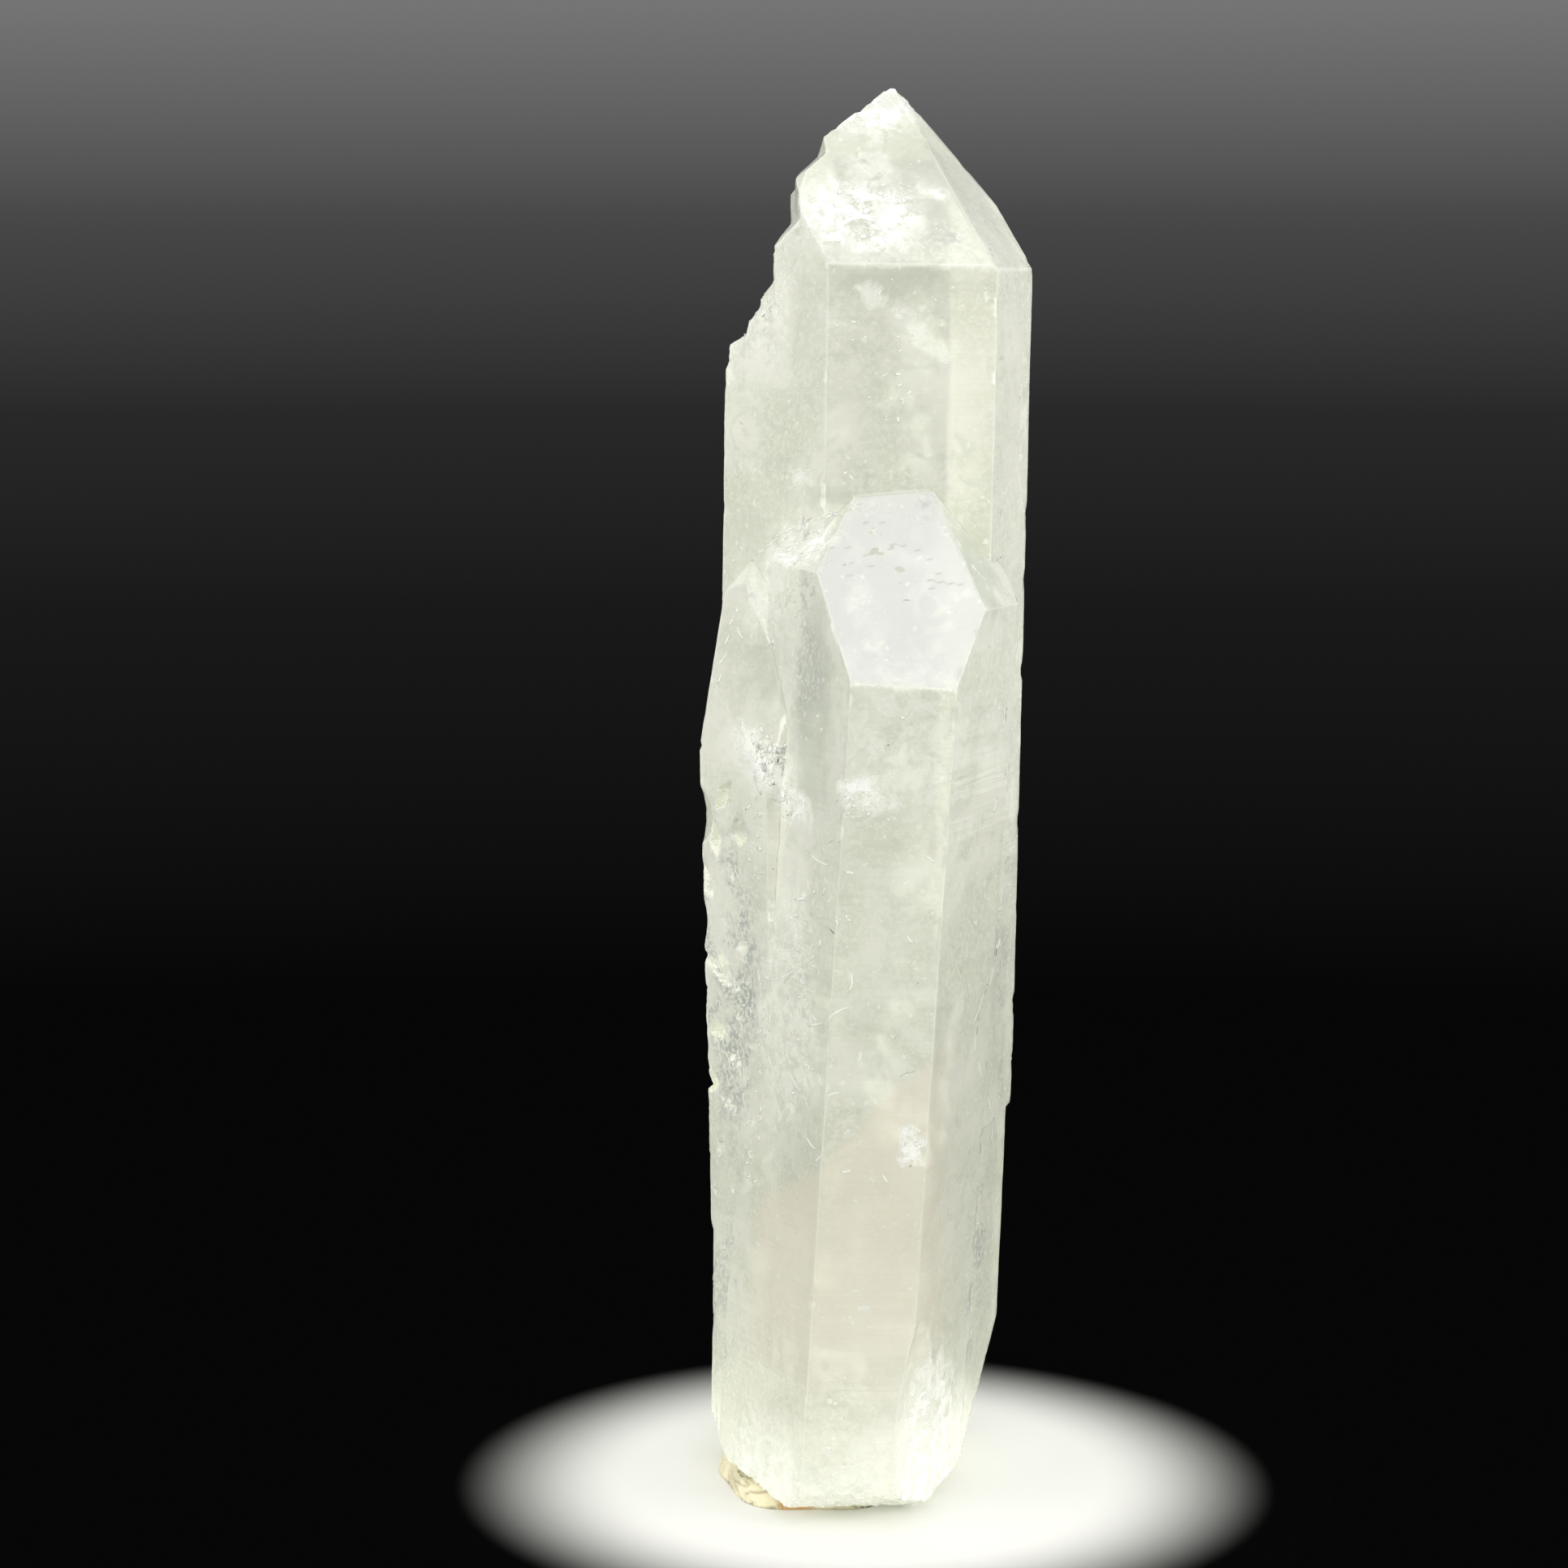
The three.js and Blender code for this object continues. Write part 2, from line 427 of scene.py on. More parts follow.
@dataclass(frozen=True)
class QuartzFinish:
    """Clear to milky quartz, glossy on its faces and frosted where it is etched or broken."""

    clear: Colour = (0.79, 0.80, 0.70)
    milky: Colour = (0.96, 0.96, 0.88)
    blush: Colour = (0.98, 0.915, 0.795)
    shaded: Colour = (0.60, 0.63, 0.54)
    # painted sheen: a cool tint on the front tip faces, as if they mirrored the overhead light
    painted_tip_sheen: Colour = (0.82, 0.82, 0.825)
    # painted shade in the cracked places
    crack_shade: Colour = (0.48, 0.51, 0.51)
    # the white of the veils, also used for painted highlights, glints and sheen mottle
    white_and_highlight: Colour = (0.99, 1.0, 0.95)
    transmission: float = 0.44
    ior: float = 1.544
    polished: float = 0.12
    frosted: float = 0.45
    passed: Colour = (0.86, 0.88, 0.82)
    let_in: float = 0.8
    absorbed: Colour = (0.80, 0.86, 0.74)
    absorption: float = 9.0
    milk: Cloud = Cloud(110.0, 5.0, 0.40, 0.66)
    fine: Cloud = Cloud(520.0, 6.0, 0.52, 0.72)
    dust: Cloud = Cloud(2600.0, 4.0, 0.42, 0.66)
    dust_share: float = 0.6
    wisps: Cloud = Cloud(330.0, 8.0, 0.50, 0.68, warp=1.6)
    wisps_share: float = 0.32
    sheen_mottle_share: float = 0.45
    swirls: Cloud = Cloud(640.0, 11.0, 0.44, 0.53, warp=1.4)
    dots: Cloud = Cloud(2100.0, 6.0, 0.54, 0.60, warp=0.1)
    # painted shade patches and painted glints
    crack_shade_patches: Cloud = Cloud(300.0, 15.0, 0.44, 0.60, warp=0.6)
    crack_shade_fine: Cloud = Cloud(2600.0, 10.0, 0.38, 0.58, warp=0.4)
    crack_glints: Cloud = Cloud(3300.0, 8.0, 0.55, 0.60, warp=0.3)
    stray_glints: Cloud = Cloud(1500.0, 6.0, 0.66, 0.69, warp=0.0)
    edge_from: float = 0.66
    edge_to: float = 0.92
    # painted shade on inner edges, painted highlight on outer edges
    groove_shade_share: float = 0.75
    ridge_highlight_share: float = 0.8
    fine_haze: float = 0.25
    tip_haze: float = 0.5
    lines_on_tip: float = 0.15
    lines_scale: tuple[float, float, float] = (90.0, 90.0, 2300.0)
    grain_scale: float = 2600.0
    grain_share: float = 0.25
    bump_distance: float = 0.00005
    bump_strength: float = 0.4

    def build(self, effects: Effects) -> bpy.types.Material:
        """Builds the material.

        Args:
            effects: The shared node groups.

        Returns:
            The finished material.
        """
        paint = Paint("quartz", effects)
        paint.plain(Transmission_Weight=self.transmission, IOR=self.ior, Metallic=0.0)
        fine = paint.cloud(self.fine)
        tone = self._body(paint, fine)
        tone = self._outlined(paint, tone)
        tone = self._veils_and_glare(paint, tone)
        paint.feed("Base Color", self._glittering(paint, tone))
        haze = paint.sum(paint.attribute("etch"), fine, self.fine_haze)
        haze = paint.sum(haze, paint.attribute("painted_tip_sheen"), self.tip_haze)
        paint.feed("Roughness", paint.scaled(haze, self.polished, self.frosted))
        height = paint.sum(self._growth_lines(paint), paint.grain(self.grain_scale), self.grain_share)
        paint.bump(height, self.bump_distance, self.bump_strength)
        self._absorb(paint)
        self._let_light_in(paint)
        return paint.material

    def _body(self, paint: Paint, fine: bpy.types.NodeSocket) -> bpy.types.NodeSocket:
        """Makes the milky body colour, with its wisps, its blush, painted shade on some front faces and a
        painted sheen on the front tip.

        Args:
            paint: The material that is being built.
            fine: The mask of the fine patches.

        Returns:
            The body's colour.
        """
        wisps, shade, painted_tip_sheen = paint.cloud(self.wisps), paint.attribute("shade"), paint.attribute("painted_tip_sheen")
        tone = paint.mix(paint.cloud(self.milk), self.clear, self.milky)
        tone = paint.mix(paint.scaled(wisps, 0.0, self.wisps_share), tone, self.shaded)
        tone = paint.mix(paint.scaled(paint.cloud(self.dust), 0.0, self.dust_share), tone, self.milky)
        tone = paint.mix(paint.attribute("blush"), tone, self.blush)
        for share in (paint.both(shade, fine), shade):
            tone = paint.mix(share, tone, self.shaded)
        tone = paint.mix(paint.attribute("etch"), tone, self.milky)
        # painted sheen on the front tip faces, with bright mottle
        tone = paint.mix(painted_tip_sheen, tone, self.painted_tip_sheen)
        return paint.mix(paint.scaled(paint.both(painted_tip_sheen, wisps), 0.0, self.sheen_mottle_share), tone, self.white_and_highlight)

    def _outlined(self, paint: Paint, tone: bpy.types.NodeSocket) -> bpy.types.NodeSocket:
        """Draws a thin painted highlight along the crystal's outer edges and painted shade along its inner
        ones.

        Args:
            paint: The material that is being built.
            tone: The colour so far.

        Returns:
            The colour with the edges in it.
        """
        edges = (("groove_shade", self.groove_shade_share, self.shaded), ("ridge", self.ridge_highlight_share, self.white_and_highlight))
        for name, share, painted_edge_tone in edges:
            line = paint.scaled(paint.attribute(name), 0.0, share, self.edge_from, self.edge_to)
            tone = paint.mix(line, tone, painted_edge_tone)
        return tone

    def _veils_and_glare(self, paint: Paint, tone: bpy.types.NodeSocket) -> bpy.types.NodeSocket:
        """Whitens the skin over the strong veils and paints glare on the left tip facet, in swirls that leave
        it clear between them.

        Args:
            paint: The material that is being built.
            tone: The colour so far.

        Returns:
            The colour with the veils in it.
        """
        veil = paint.attribute("veil")
        for layer in (self.swirls, self.dots):
            tone = paint.mix(paint.both(veil, paint.cloud(layer)), tone, self.white_and_highlight)
        return tone

    def _glittering(self, paint: Paint, tone: bpy.types.NodeSocket) -> bpy.types.NodeSocket:
        """Adds painted shade in grey patches and painted glints in bright specks, thick in the cracked places
        and sparse elsewhere.

        Args:
            paint: The material that is being built.
            tone: The colour so far.

        Returns:
            The colour with them in it.
        """
        crack = paint.attribute("crack")
        # painted shade in grey patches over the cracked places
        grey = paint.both(paint.cloud(self.crack_shade_patches), paint.cloud(self.crack_shade_fine))
        tone = paint.mix(paint.both(crack, grey), tone, self.crack_shade)
        # painted glints, sparse everywhere and thick in the cracked places
        tone = paint.mix(paint.cloud(self.stray_glints), tone, self.white_and_highlight)
        return paint.mix(paint.both(crack, paint.cloud(self.crack_glints)), tone, self.white_and_highlight)

    def _growth_lines(self, paint: Paint) -> bpy.types.NodeSocket:
        """Makes the fine level striations that run round the prism, weaker on the front tip.

        Args:
            paint: The material that is being built.

        Returns:
            The socket that gives their height.
        """
        squeezed = paint.nodes.new("ShaderNodeMapping")
        squeezed.inputs["Scale"].default_value = self.lines_scale
        lines = paint.nodes.new("ShaderNodeTexNoise")
        lines.inputs["Scale"].default_value = 1.0
        lines.inputs["Detail"].default_value = 3.0
        paint.links.new(paint.position, squeezed.inputs["Vector"])
        paint.links.new(squeezed.outputs["Vector"], lines.inputs["Vector"])
        return paint.both(lines.outputs["Fac"], paint.scaled(paint.attribute("painted_tip_sheen"), 1.0, self.lines_on_tip))

    def _absorb(self, paint: Paint) -> None:
        """Adds the faint body tint as plain absorption.

        Args:
            paint: The material that is being built.
        """
        volume = paint.nodes.new("ShaderNodeVolumeAbsorption")
        volume.inputs["Color"].default_value = (*self.absorbed, 1.0)
        volume.inputs["Density"].default_value = self.absorption
        paint.links.new(volume.outputs["Volume"], paint.output.inputs["Volume"])

    def _let_light_in(self, paint: Paint) -> None:
        """Lets the lamps light what is inside, which the surface would else shade.

        Args:
            paint: The material that is being built.
        """
        path = paint.nodes.new("ShaderNodeLightPath")
        clear = paint.nodes.new("ShaderNodeBsdfTransparent")
        clear.inputs["Color"].default_value = (*self.passed, 1.0)
        blend = paint.nodes.new("ShaderNodeMixShader")
        shares = (
            paint.scaled(path.outputs["Is Shadow Ray"], 0.0, self.let_in),
            paint.shader.outputs["BSDF"],
            clear.outputs["BSDF"],
        )
        for socket, value in zip(blend.inputs, shares):
            paint.links.new(value, socket)
        paint.links.new(blend.outputs["Shader"], paint.output.inputs["Surface"])


@dataclass(frozen=True)
class VeilFinish:
    """A healed fracture inside the quartz: bright specks with clear gaps between them."""

    name: str
    colour: Colour
    specks: Cloud
    cover: float
    dim: float = 0.94
    roughness: float = 0.45
    polished: float = 0.2
    ior: float = 1.3
    grain_scale: float = 5200.0
    bump_distance: float = 0.00005
    bump_strength: float = 0.6

    def build(self, effects: Effects) -> bpy.types.Material:
        """Builds the material.

        Args:
            effects: The shared node groups.

        Returns:
            The finished material.
        """
        paint = Paint(self.name, effects)
        paint.plain(Metallic=0.0, IOR=self.ior)
        specks = paint.cloud(self.specks)
        paint.feed("Base Color", paint.mix(specks, tuple(self.dim * c for c in self.colour), self.colour))
        paint.feed("Alpha", paint.scaled(paint.both(specks, paint.attribute("core")), 0.0, self.cover))
        paint.feed("Roughness", paint.scaled(specks, self.roughness, self.polished))
        paint.bump(paint.grain(self.grain_scale), self.bump_distance, self.bump_strength)
        return paint.material


BRIGHT_VEIL = VeilFinish("bright_veil", (0.98, 1.0, 0.93), Cloud(1050.0, 6.0, 0.40, 0.56), cover=0.97)
SOFT_VEIL = VeilFinish("soft_veil", (0.95, 0.97, 0.91), Cloud(420.0, 6.0, 0.44, 0.70), cover=0.40)
DARK_SPECK = VeilFinish("dark_speck", (0.24, 0.25, 0.24), Cloud(2200.0, 6.0, 0.50, 0.58), cover=0.80)
FLAKE = VeilFinish("flake", (0.99, 1.0, 0.94), Cloud(2400.0, 6.0, 0.30, 0.42), cover=0.95)
# white crust over the veils, also painted glare on the left tip facet
CRUST = VeilFinish("veil_crust", (0.99, 1.0, 0.94), Cloud(800.0, 6.0, 0.41, 0.56), cover=0.9)


@dataclass(frozen=True)
class PuttyFinish:
    """Matt olive putty, kneaded and stained, with painted shade in its folds."""

    pale: Colour = (0.82, 0.76, 0.52)
    # the painted shade of the folds
    dark: Colour = (0.26, 0.22, 0.12)
    rust: Colour = (0.66, 0.38, 0.13)
    mottle: Cloud = Cloud(520.0, 5.0, 0.40, 0.62)
    dim: float = 0.8
    smooth: float = 0.5
    rough: float = 0.72
    ior: float = 1.45
    grain_scale: float = 3800.0
    bump_distance: float = 0.00012
    bump_strength: float = 0.7

    def build(self, effects: Effects) -> bpy.types.Material:
        """Builds the material.

        Args:
            effects: The shared node groups.

        Returns:
            The finished material.
        """
        paint = Paint("putty", effects)
        paint.plain(Metallic=0.0, IOR=self.ior)
        mottle = paint.cloud(self.mottle)
        base = paint.mix(mottle, self.pale, tuple(self.dim * c for c in self.pale))
        # painted shade in the folds
        crease_shaded = paint.mix(paint.attribute("crease"), base, self.dark)
        paint.feed("Base Color", paint.mix(paint.attribute("stain"), crease_shaded, self.rust))
        paint.feed("Roughness", paint.scaled(mottle, self.smooth, self.rough))
        paint.bump(paint.grain(self.grain_scale), self.bump_distance, self.bump_strength)
        return paint.material


# The crystal's surface


@dataclass(frozen=True)
class Zone:
    """A rounded part of the crystal where a mark is found, in millimetres, and how strong it is."""

    middle: tuple[float, float, float]
    half: tuple[float, float, float]
    share: float = 1.0
    tips_only: bool = False


CRACKED = (
    Zone((-11.0, -1.0, 36.0), (5.2, 8.0, 19.0), 1.0),
    Zone((-11.0, 0.0, 14.0), (3.2, 7.0, 13.0), 0.5),
    Zone((8.6, -1.0, 16.0), (3.6, 5.0, 13.0), 0.65),
    Zone((11.0, 1.5, 40.0), (2.2, 4.0, 34.0), 0.6),
    Zone((-8.0, 3.0, 84.0), (5.0, 6.0, 9.0), 0.3),
    Zone((-3.0, -6.0, 60.5), (4.0, 4.0, 5.0), 0.6),
    Zone((3.6, -3.6, 71.0), (1.6, 3.0, 1.6), 0.5),
    Zone((5.4, -0.5, 89.5), (1.8, 2.6, 2.0), 0.9),
)
VEILS_AND_GLARE = (
    Zone((0.2, -0.6, 90.4), (4.6, 4.6, 4.0), 1.0),
    Zone((-2.6, 0.2, 90.6), (4.0, 4.6, 4.2), 1.0),
    Zone((0.2, 2.0, 94.4), (2.6, 3.4, 2.2), 0.4),
    Zone((4.4, 2.0, 92.6), (1.7, 2.2, 1.1), 1.0),
    Zone((0.0, 6.0, 99.0), (5.0, 6.0, 3.8), 1.0),
    Zone((-6.0, 3.0, 88.0), (4.5, 6.0, 9.0), 0.45),
    # Painted glare: the left tip facet and the prism face beside it, whitened as if they shone.
    Zone((-4.8, -3.2, 68.6), (4.4, 4.0, 3.4), 1.0, tips_only=True),
    Zone((-5.6, -3.4, 73.0), (1.9, 3.0, 1.4), 0.9),
    Zone((-6.4, -0.2, 67.6), (2.3, 3.4, 1.5), 1.0),
    Zone((-4.8, -2.2, 68.2), (2.3, 3.4, 2.1), 1.0),
    Zone((-3.7, -4.0, 68.4), (1.7, 3.4, 2.3), 1.0),
    Zone((-0.6, -7.6, 65.0), (1.2, 4.0, 2.4), 0.3, tips_only=True),
    Zone((0.4, -9.5, 62.2), (1.3, 4.0, 1.0), 0.35, tips_only=True),
    Zone((-8.7, -4.0, 54.4), (1.9, 6.0, 1.7), 0.9),
    Zone((-6.9, -5.0, 52.6), (2.3, 7.0, 2.2), 1.0),
    Zone((-5.2, -6.0, 50.6), (1.6, 7.0, 1.9), 1.0),
    Zone((-0.9, -12.5, 52.4), (1.7, 3.0, 1.6), 1.0),
    Zone((0.6, -12.5, 51.6), (1.9, 3.0, 1.0), 0.7),
    Zone((2.9, -12.5, 27.8), (1.0, 3.0, 2.0), 1.0),
    Zone((3.2, -3.3, 83.2), (1.3, 2.0, 1.2), 0.5),
    Zone((4.6, -3.2, 81.8), (1.5, 2.0, 1.0), 0.5),
    Zone((0.4, -3.3, 85.7), (1.3, 2.0, 1.0), 0.5),
    Zone((2.1, -3.3, 84.2), (1.2, 2.0, 0.8), 0.45),
    Zone((-2.5, -3.2, 84.2), (1.3, 2.0, 1.1), 0.4),
    Zone((0.0, -5.0, 3.0), (12.0, 11.0, 8.5), 0.75),
    Zone((5.0, -9.0, 5.0), (4.2, 6.0, 9.5), 0.95),
    Zone((-8.0, -4.0, 3.0), (1.6, 3.0, 1.8), 1.0),
    Zone((-4.0, -9.5, 1.8), (1.3, 4.0, 1.6), 1.0),
    Zone((-7.0, -2.0, 66.0), (3.6, 5.0, 6.0), 0.35),
    # partly painted light: brightens the lower left face, partly its wisps
    Zone((-5.5, -7.0, 36.0), (4.6, 6.0, 12.0), 0.35),
    Zone((11.4, 2.0, 17.0), (1.2, 6.0, 12.0), 0.8),
    Zone((11.6, 3.0, 60.0), (0.6, 8.0, 42.0), 0.5),
    Zone((2.5, -11.0, 56.0), (6.0, 6.0, 7.0), 0.35),
)
# Where a painted sheen tints the front tip faces.
PAINTED_SHEEN_ZONES = (Zone((2.5, -9.0, 57.0), (16.0, 24.0, 26.0), 1.0, tips_only=True),)
SHADED = (
    Zone((-3.2, -7.0, 56.5), (2.6, 5.0, 11.0), 0.8),
    Zone((7.4, -5.5, 66.5), (2.6, 5.5, 5.5), 0.9),
    Zone((-6.2, -3.0, 60.5), (2.8, 5.0, 5.5), 0.45),
    Zone((-2.6, -2.6, 71.8), (2.6, 3.4, 1.5), 0.5),
    Zone((2.4, -3.4, 86.6), (6.0, 2.0, 1.6), 0.5),
    Zone((1.4, 1.5, 93.4), (7.0, 8.0, 7.0), 0.45, tips_only=True),
)


@dataclass
class CrystalSkin:
    """The fine surface of the quartz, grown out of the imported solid. Lengths are in millimetres."""

    cell: float = 0.45
    back_cell: float = 0.66
    back_from: float = 4.0
    first_length: float = 16.0
    flat_bend: float = 0.01
    crease: float = 16.0
    line_height: float = 0.018
    line_pitch: float = 1.5
    step_height: float = 0.02
    mound_height: float = 0.035
    chip_depth: float = 0.30
    etch_depth: float = 0.26
    fracture_depth: float = 0.26
    softening: float = 0.25
    crust_lift: float = 0.012
    crust_from: float = 0.06

    def build(self, source: bpy.types.Object, material: bpy.types.Material) -> bpy.types.Object:
        """Makes the surface and puts it in place of the solid.

        Args:
            source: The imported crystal.
            material: Its finish.

        Returns:
            The finished piece.
        """
        bm = load_in_mm(source)
        self._refine(bm)
        self._carve(bm)
        to_metres(bm)
        piece = finished_piece(bm, "quartz_crystal", material, self.crease)
        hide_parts(Node.CRYSTAL.value)
        return piece

    def build_crust(self, skin: bpy.types.Object, material: bpy.types.Material) -> bpy.types.Object:
        """Lifts the veiled parts of the surface into a thin crust, where healed cracks reach the skin and
        where glare is painted.

        Args:
            skin: The finished surface.
            material: The crust's finish.

        Returns:
            The finished piece.
        """
        bm = bmesh.new()
        bm.from_mesh(skin.data)
        veil = bm.verts.layers.float["veil"]
        core = bm.verts.layers.float.new("core")
        plain = [f for f in bm.faces if max(v[veil] for v in f.verts) < self.crust_from]
        bmesh.ops.delete(bm, geom=plain, context="FACES")
        bm.normal_update()
        for v in bm.verts:
            v[core] = v[veil]
            v.co += v.normal * self.crust_lift * MM
        return finished_piece(bm, "veil_crust", material)

    def _refine(self, bm: bmesh.types.BMesh) -> None:
        """Splits the long edges until every one is shorter than a cell.

        Args:
            bm: The surface, in millimetres.
        """
        length = self.first_length
        while length > self.cell:
            length = max(self.cell, length / 2.0)
            for _ in range(3):
                longer = [e for e in bm.edges if e.calc_length() > length * self._coarseness(e)]
                if not longer:
                    break
                split_longer(bm, longer)
                flat = [e for e in bm.edges if e.is_manifold and e.calc_face_angle(0.0) < self.flat_bend]
                bmesh.ops.beautify_fill(bm, faces=bm.faces, edges=flat)

    def _coarseness(self, edge: bmesh.types.BMEdge) -> float:
        """Gives how much longer an edge may be: the plain back is coarser than the front.

        Args:
            edge: The edge.

        Returns:
            How many times the cell it may be long.
        """
        return self.back_cell / self.cell if min(v.co.y for v in edge.verts) > self.back_from else 1.0

    def _find_edges(
        self, bm: bmesh.types.BMesh, ridge: bmesh.types.BMLayerItem, groove_shade: bmesh.types.BMLayerItem
    ) -> set[bmesh.types.BMVert]:
        """Marks the edges between faces: the outer ones as ridges, which get a painted highlight, and the
        inner ones as grooves, which get painted shade.

        Args:
            bm: The refined surface.
            ridge: The layer for outer edges, where a highlight is painted.
            groove_shade: The layer for inner edges, where shade is painted.

        Returns:
            The vertices of both.
        """
        sharp = set()
        for e in bm.edges:
            bend = e.calc_face_angle_signed(0.0)
            if abs(bend) > math.radians(self.crease):
                sharp.update(e.verts)
                for v in e.verts:
                    v[ridge if bend > 0.0 else groove_shade] = 1.0
        return sharp

    def _carve(self, bm: bmesh.types.BMesh) -> None:
        """Cuts the growth lines, mounds, chips and broken zones into the refined surface.

        Args:
            bm: The refined surface, which also gets the marks that its finish reads.
        """
        bm.normal_update()
        names = ("etch", "blush", "crack", "veil", "painted_tip_sheen", "ridge", "groove_shade", "shade")
        mark = {name: bm.verts.layers.float.new(name) for name in names}
        sharp = self._find_edges(bm, mark["ridge"], mark["groove_shade"])
        soft = {v: v.co.lerp(self._around(v), self.softening) for v in sharp}
        moves = {}
        for v in bm.verts:
            at, facing = v.co, v.normal
            moves[v], v[mark["etch"]] = self._relief(at, facing, v in sharp)
            v[mark["blush"]] = self._blush(at)
            v[mark["crack"]] = self._most(CRACKED, at, facing)
            v[mark["veil"]] = self._most(VEILS_AND_GLARE, at, facing)
            # painted sheen, only on tip faces that look to the front
            v[mark["painted_tip_sheen"]] = self._most(PAINTED_SHEEN_ZONES, at, facing) * blend_in(facing.y, -0.5, -0.65)
            v[mark["shade"]] = self._most(SHADED, at, facing) * blend_in(facing.y, 0.2, -0.2)
        for v, depth in moves.items():
            v.co = soft.get(v, v.co) + v.normal * depth
            v.co.z = max(v.co.z, 0.0)

    @staticmethod
    def _around(v: bmesh.types.BMVert) -> Vector:
        """Gives the middle of a vertex's neighbours."""
        near = [e.other_vert(v).co for e in v.link_edges]
        return sum(near, Vector()) / len(near)

    def _relief(self, at: Vector, facing: Vector, on_edge: bool) -> tuple[float, float]:
        """Gives how far the surface moves at a point, and how worn it is there.

        Args:
            at: The point, in millimetres.
            facing: The surface's normal there.
            on_edge: Whether the point is on a sharp edge.

        Returns:
            The move along the normal in millimetres, and a share from 0 to 1.
        """
        upright = blend_in(abs(facing.z), 0.35, 0.1)
        depth = upright * self._growth(at)
        depth += (1.0 - upright) * self.mound_height * noise.noise(at * 0.45)
        rough = noise.fractal(at * 1.3, 0.8, 2.1, 4)
        nearest, second = noise.voronoi(at * Vector((1.5, 1.5, 0.9)))[0][:2]
        facets = second - nearest
        broken = self._broken(at, facing)
        depth -= broken * (self.etch_depth * abs(rough) + 0.35 * self.etch_depth * facets)
        cracked = self._fracture(at)
        depth -= cracked * self.fracture_depth * (0.25 + 0.75 * min(1.0, facets)) * (0.5 + 0.5 * rough)
        if on_edge:
            depth -= self._chip(at)
        return depth, min(1.0, broken + 0.5 * cracked + 0.25 * on_edge)

    def _chip(self, at: Vector) -> float:
        """Gives how deep an edge is chipped, which is deeper at the foot."""
        chip = blend_in(noise.noise(at * Vector((0.8, 0.8, 0.45))), 0.22, 0.6)
        chip *= 1.0 + 1.6 * blend_in(at.z, 5.0, 2.5)
        return self.chip_depth * chip * (0.4 + 0.6 * abs(noise.noise(at * 2.1)))

    def _growth(self, at: Vector) -> float:
        """Gives the level growth lines of a prism face, with a few broader steps."""
        lines = noise.noise(Vector((at.x * 0.10, at.y * 0.10, at.z / self.line_pitch)))
        steps = noise.noise(Vector((at.x * 0.22, at.y * 0.22, at.z * 0.16 + 7.0)))
        return self.line_height * lines + self.step_height * blend_in(steps, -0.05, 0.2)

    @staticmethod
    def _broken(at: Vector, facing: Vector) -> float:
        """Gives how rough a point is: the etched tip, the ledges and the broken foot.

        Args:
            at: The point.
            facing: The surface's normal there.

        Returns:
            A share from 0 to 1.
        """
        tip = blend_in(at.z + 0.9 * noise.noise(at * 0.8), 96.9, 97.7) * blend_in(facing.x, 0.75, 0.45)
        ledge = blend_in(at.z, 78.0, 80.5) * blend_in(at.x + 0.62 * (at.z - 79.0), 0.8, -1.2) * 0.9
        foot = blend_in(at.z, 9.0, 3.5) * blend_in(facing.z, 0.05, -0.25)
        return max(tip, ledge * blend_in(at.y, -2.0, 0.5), foot)

    @staticmethod
    def _fracture(at: Vector) -> float:
        """Gives how far a point is into the cracked zone on the left.

        Args:
            at: The point.

        Returns:
            A share from 0 to 1.
        """
        zone = hill(at, Vector((-11.0, 0.0, 36.0)), Vector((4.5, 7.5, 19.0)))
        lobe = 0.5 * hill(at, Vector((-11.5, 1.0, 56.0)), Vector((2.6, 5.0, 6.0)))
        return max(zone, lobe)

    @staticmethod
    def _most(zones: tuple[Zone, ...], at: Vector, facing: Vector) -> float:
        """Gives the strongest of some zones at a point of the surface, with ragged outlines.

        Args:
            zones: The zones.
            at: The point.
            facing: The surface's normal there.

        Returns:
            A share from 0 to 1.
        """
        sloping = blend_in(facing.z, 0.25, 0.45)
        at = at + 0.75 * noise.noise_vector(0.8 * at) + 0.4 * noise.noise_vector(2.2 * at)
        shares = []
        for zone in zones:
            share = zone.share * hill(at, Vector(zone.middle), Vector(zone.half))
            shares.append(share * (sloping if zone.tips_only else 1.0))
        return max(shares)

    @staticmethod
    def _blush(at: Vector) -> float:
        """Gives the faint peach zone low in the front crystal, below a slanting line.

        Args:
            at: The point.

        Returns:
            A share from 0 to 1.
        """
        line = at.z - 30.0 - at.x + 0.8 * noise.noise(at * 0.4)
        front = blend_in(at.y, -3.0, -7.0) * blend_in(at.x, 6.5, 4.0)
        return 0.7 * front * blend_in(line, 0.4, -0.8) * blend_in(at.z, 5.0, 17.0)


# What is inside the crystal

FRONT_TIP_FROM = 56.0


@dataclass(frozen=True)
class Veil:
    """One healed fracture: a thin wavy sheet inside the quartz. Lengths are in millimetres."""

    middle: tuple[float, float, float]
    half: tuple[float, float]
    turn: float = 0.0
    tip: float = 0.0
    roll: float = 0.0
    wave: float = 0.3
    seed: int = 1
    bend: float = 0.0


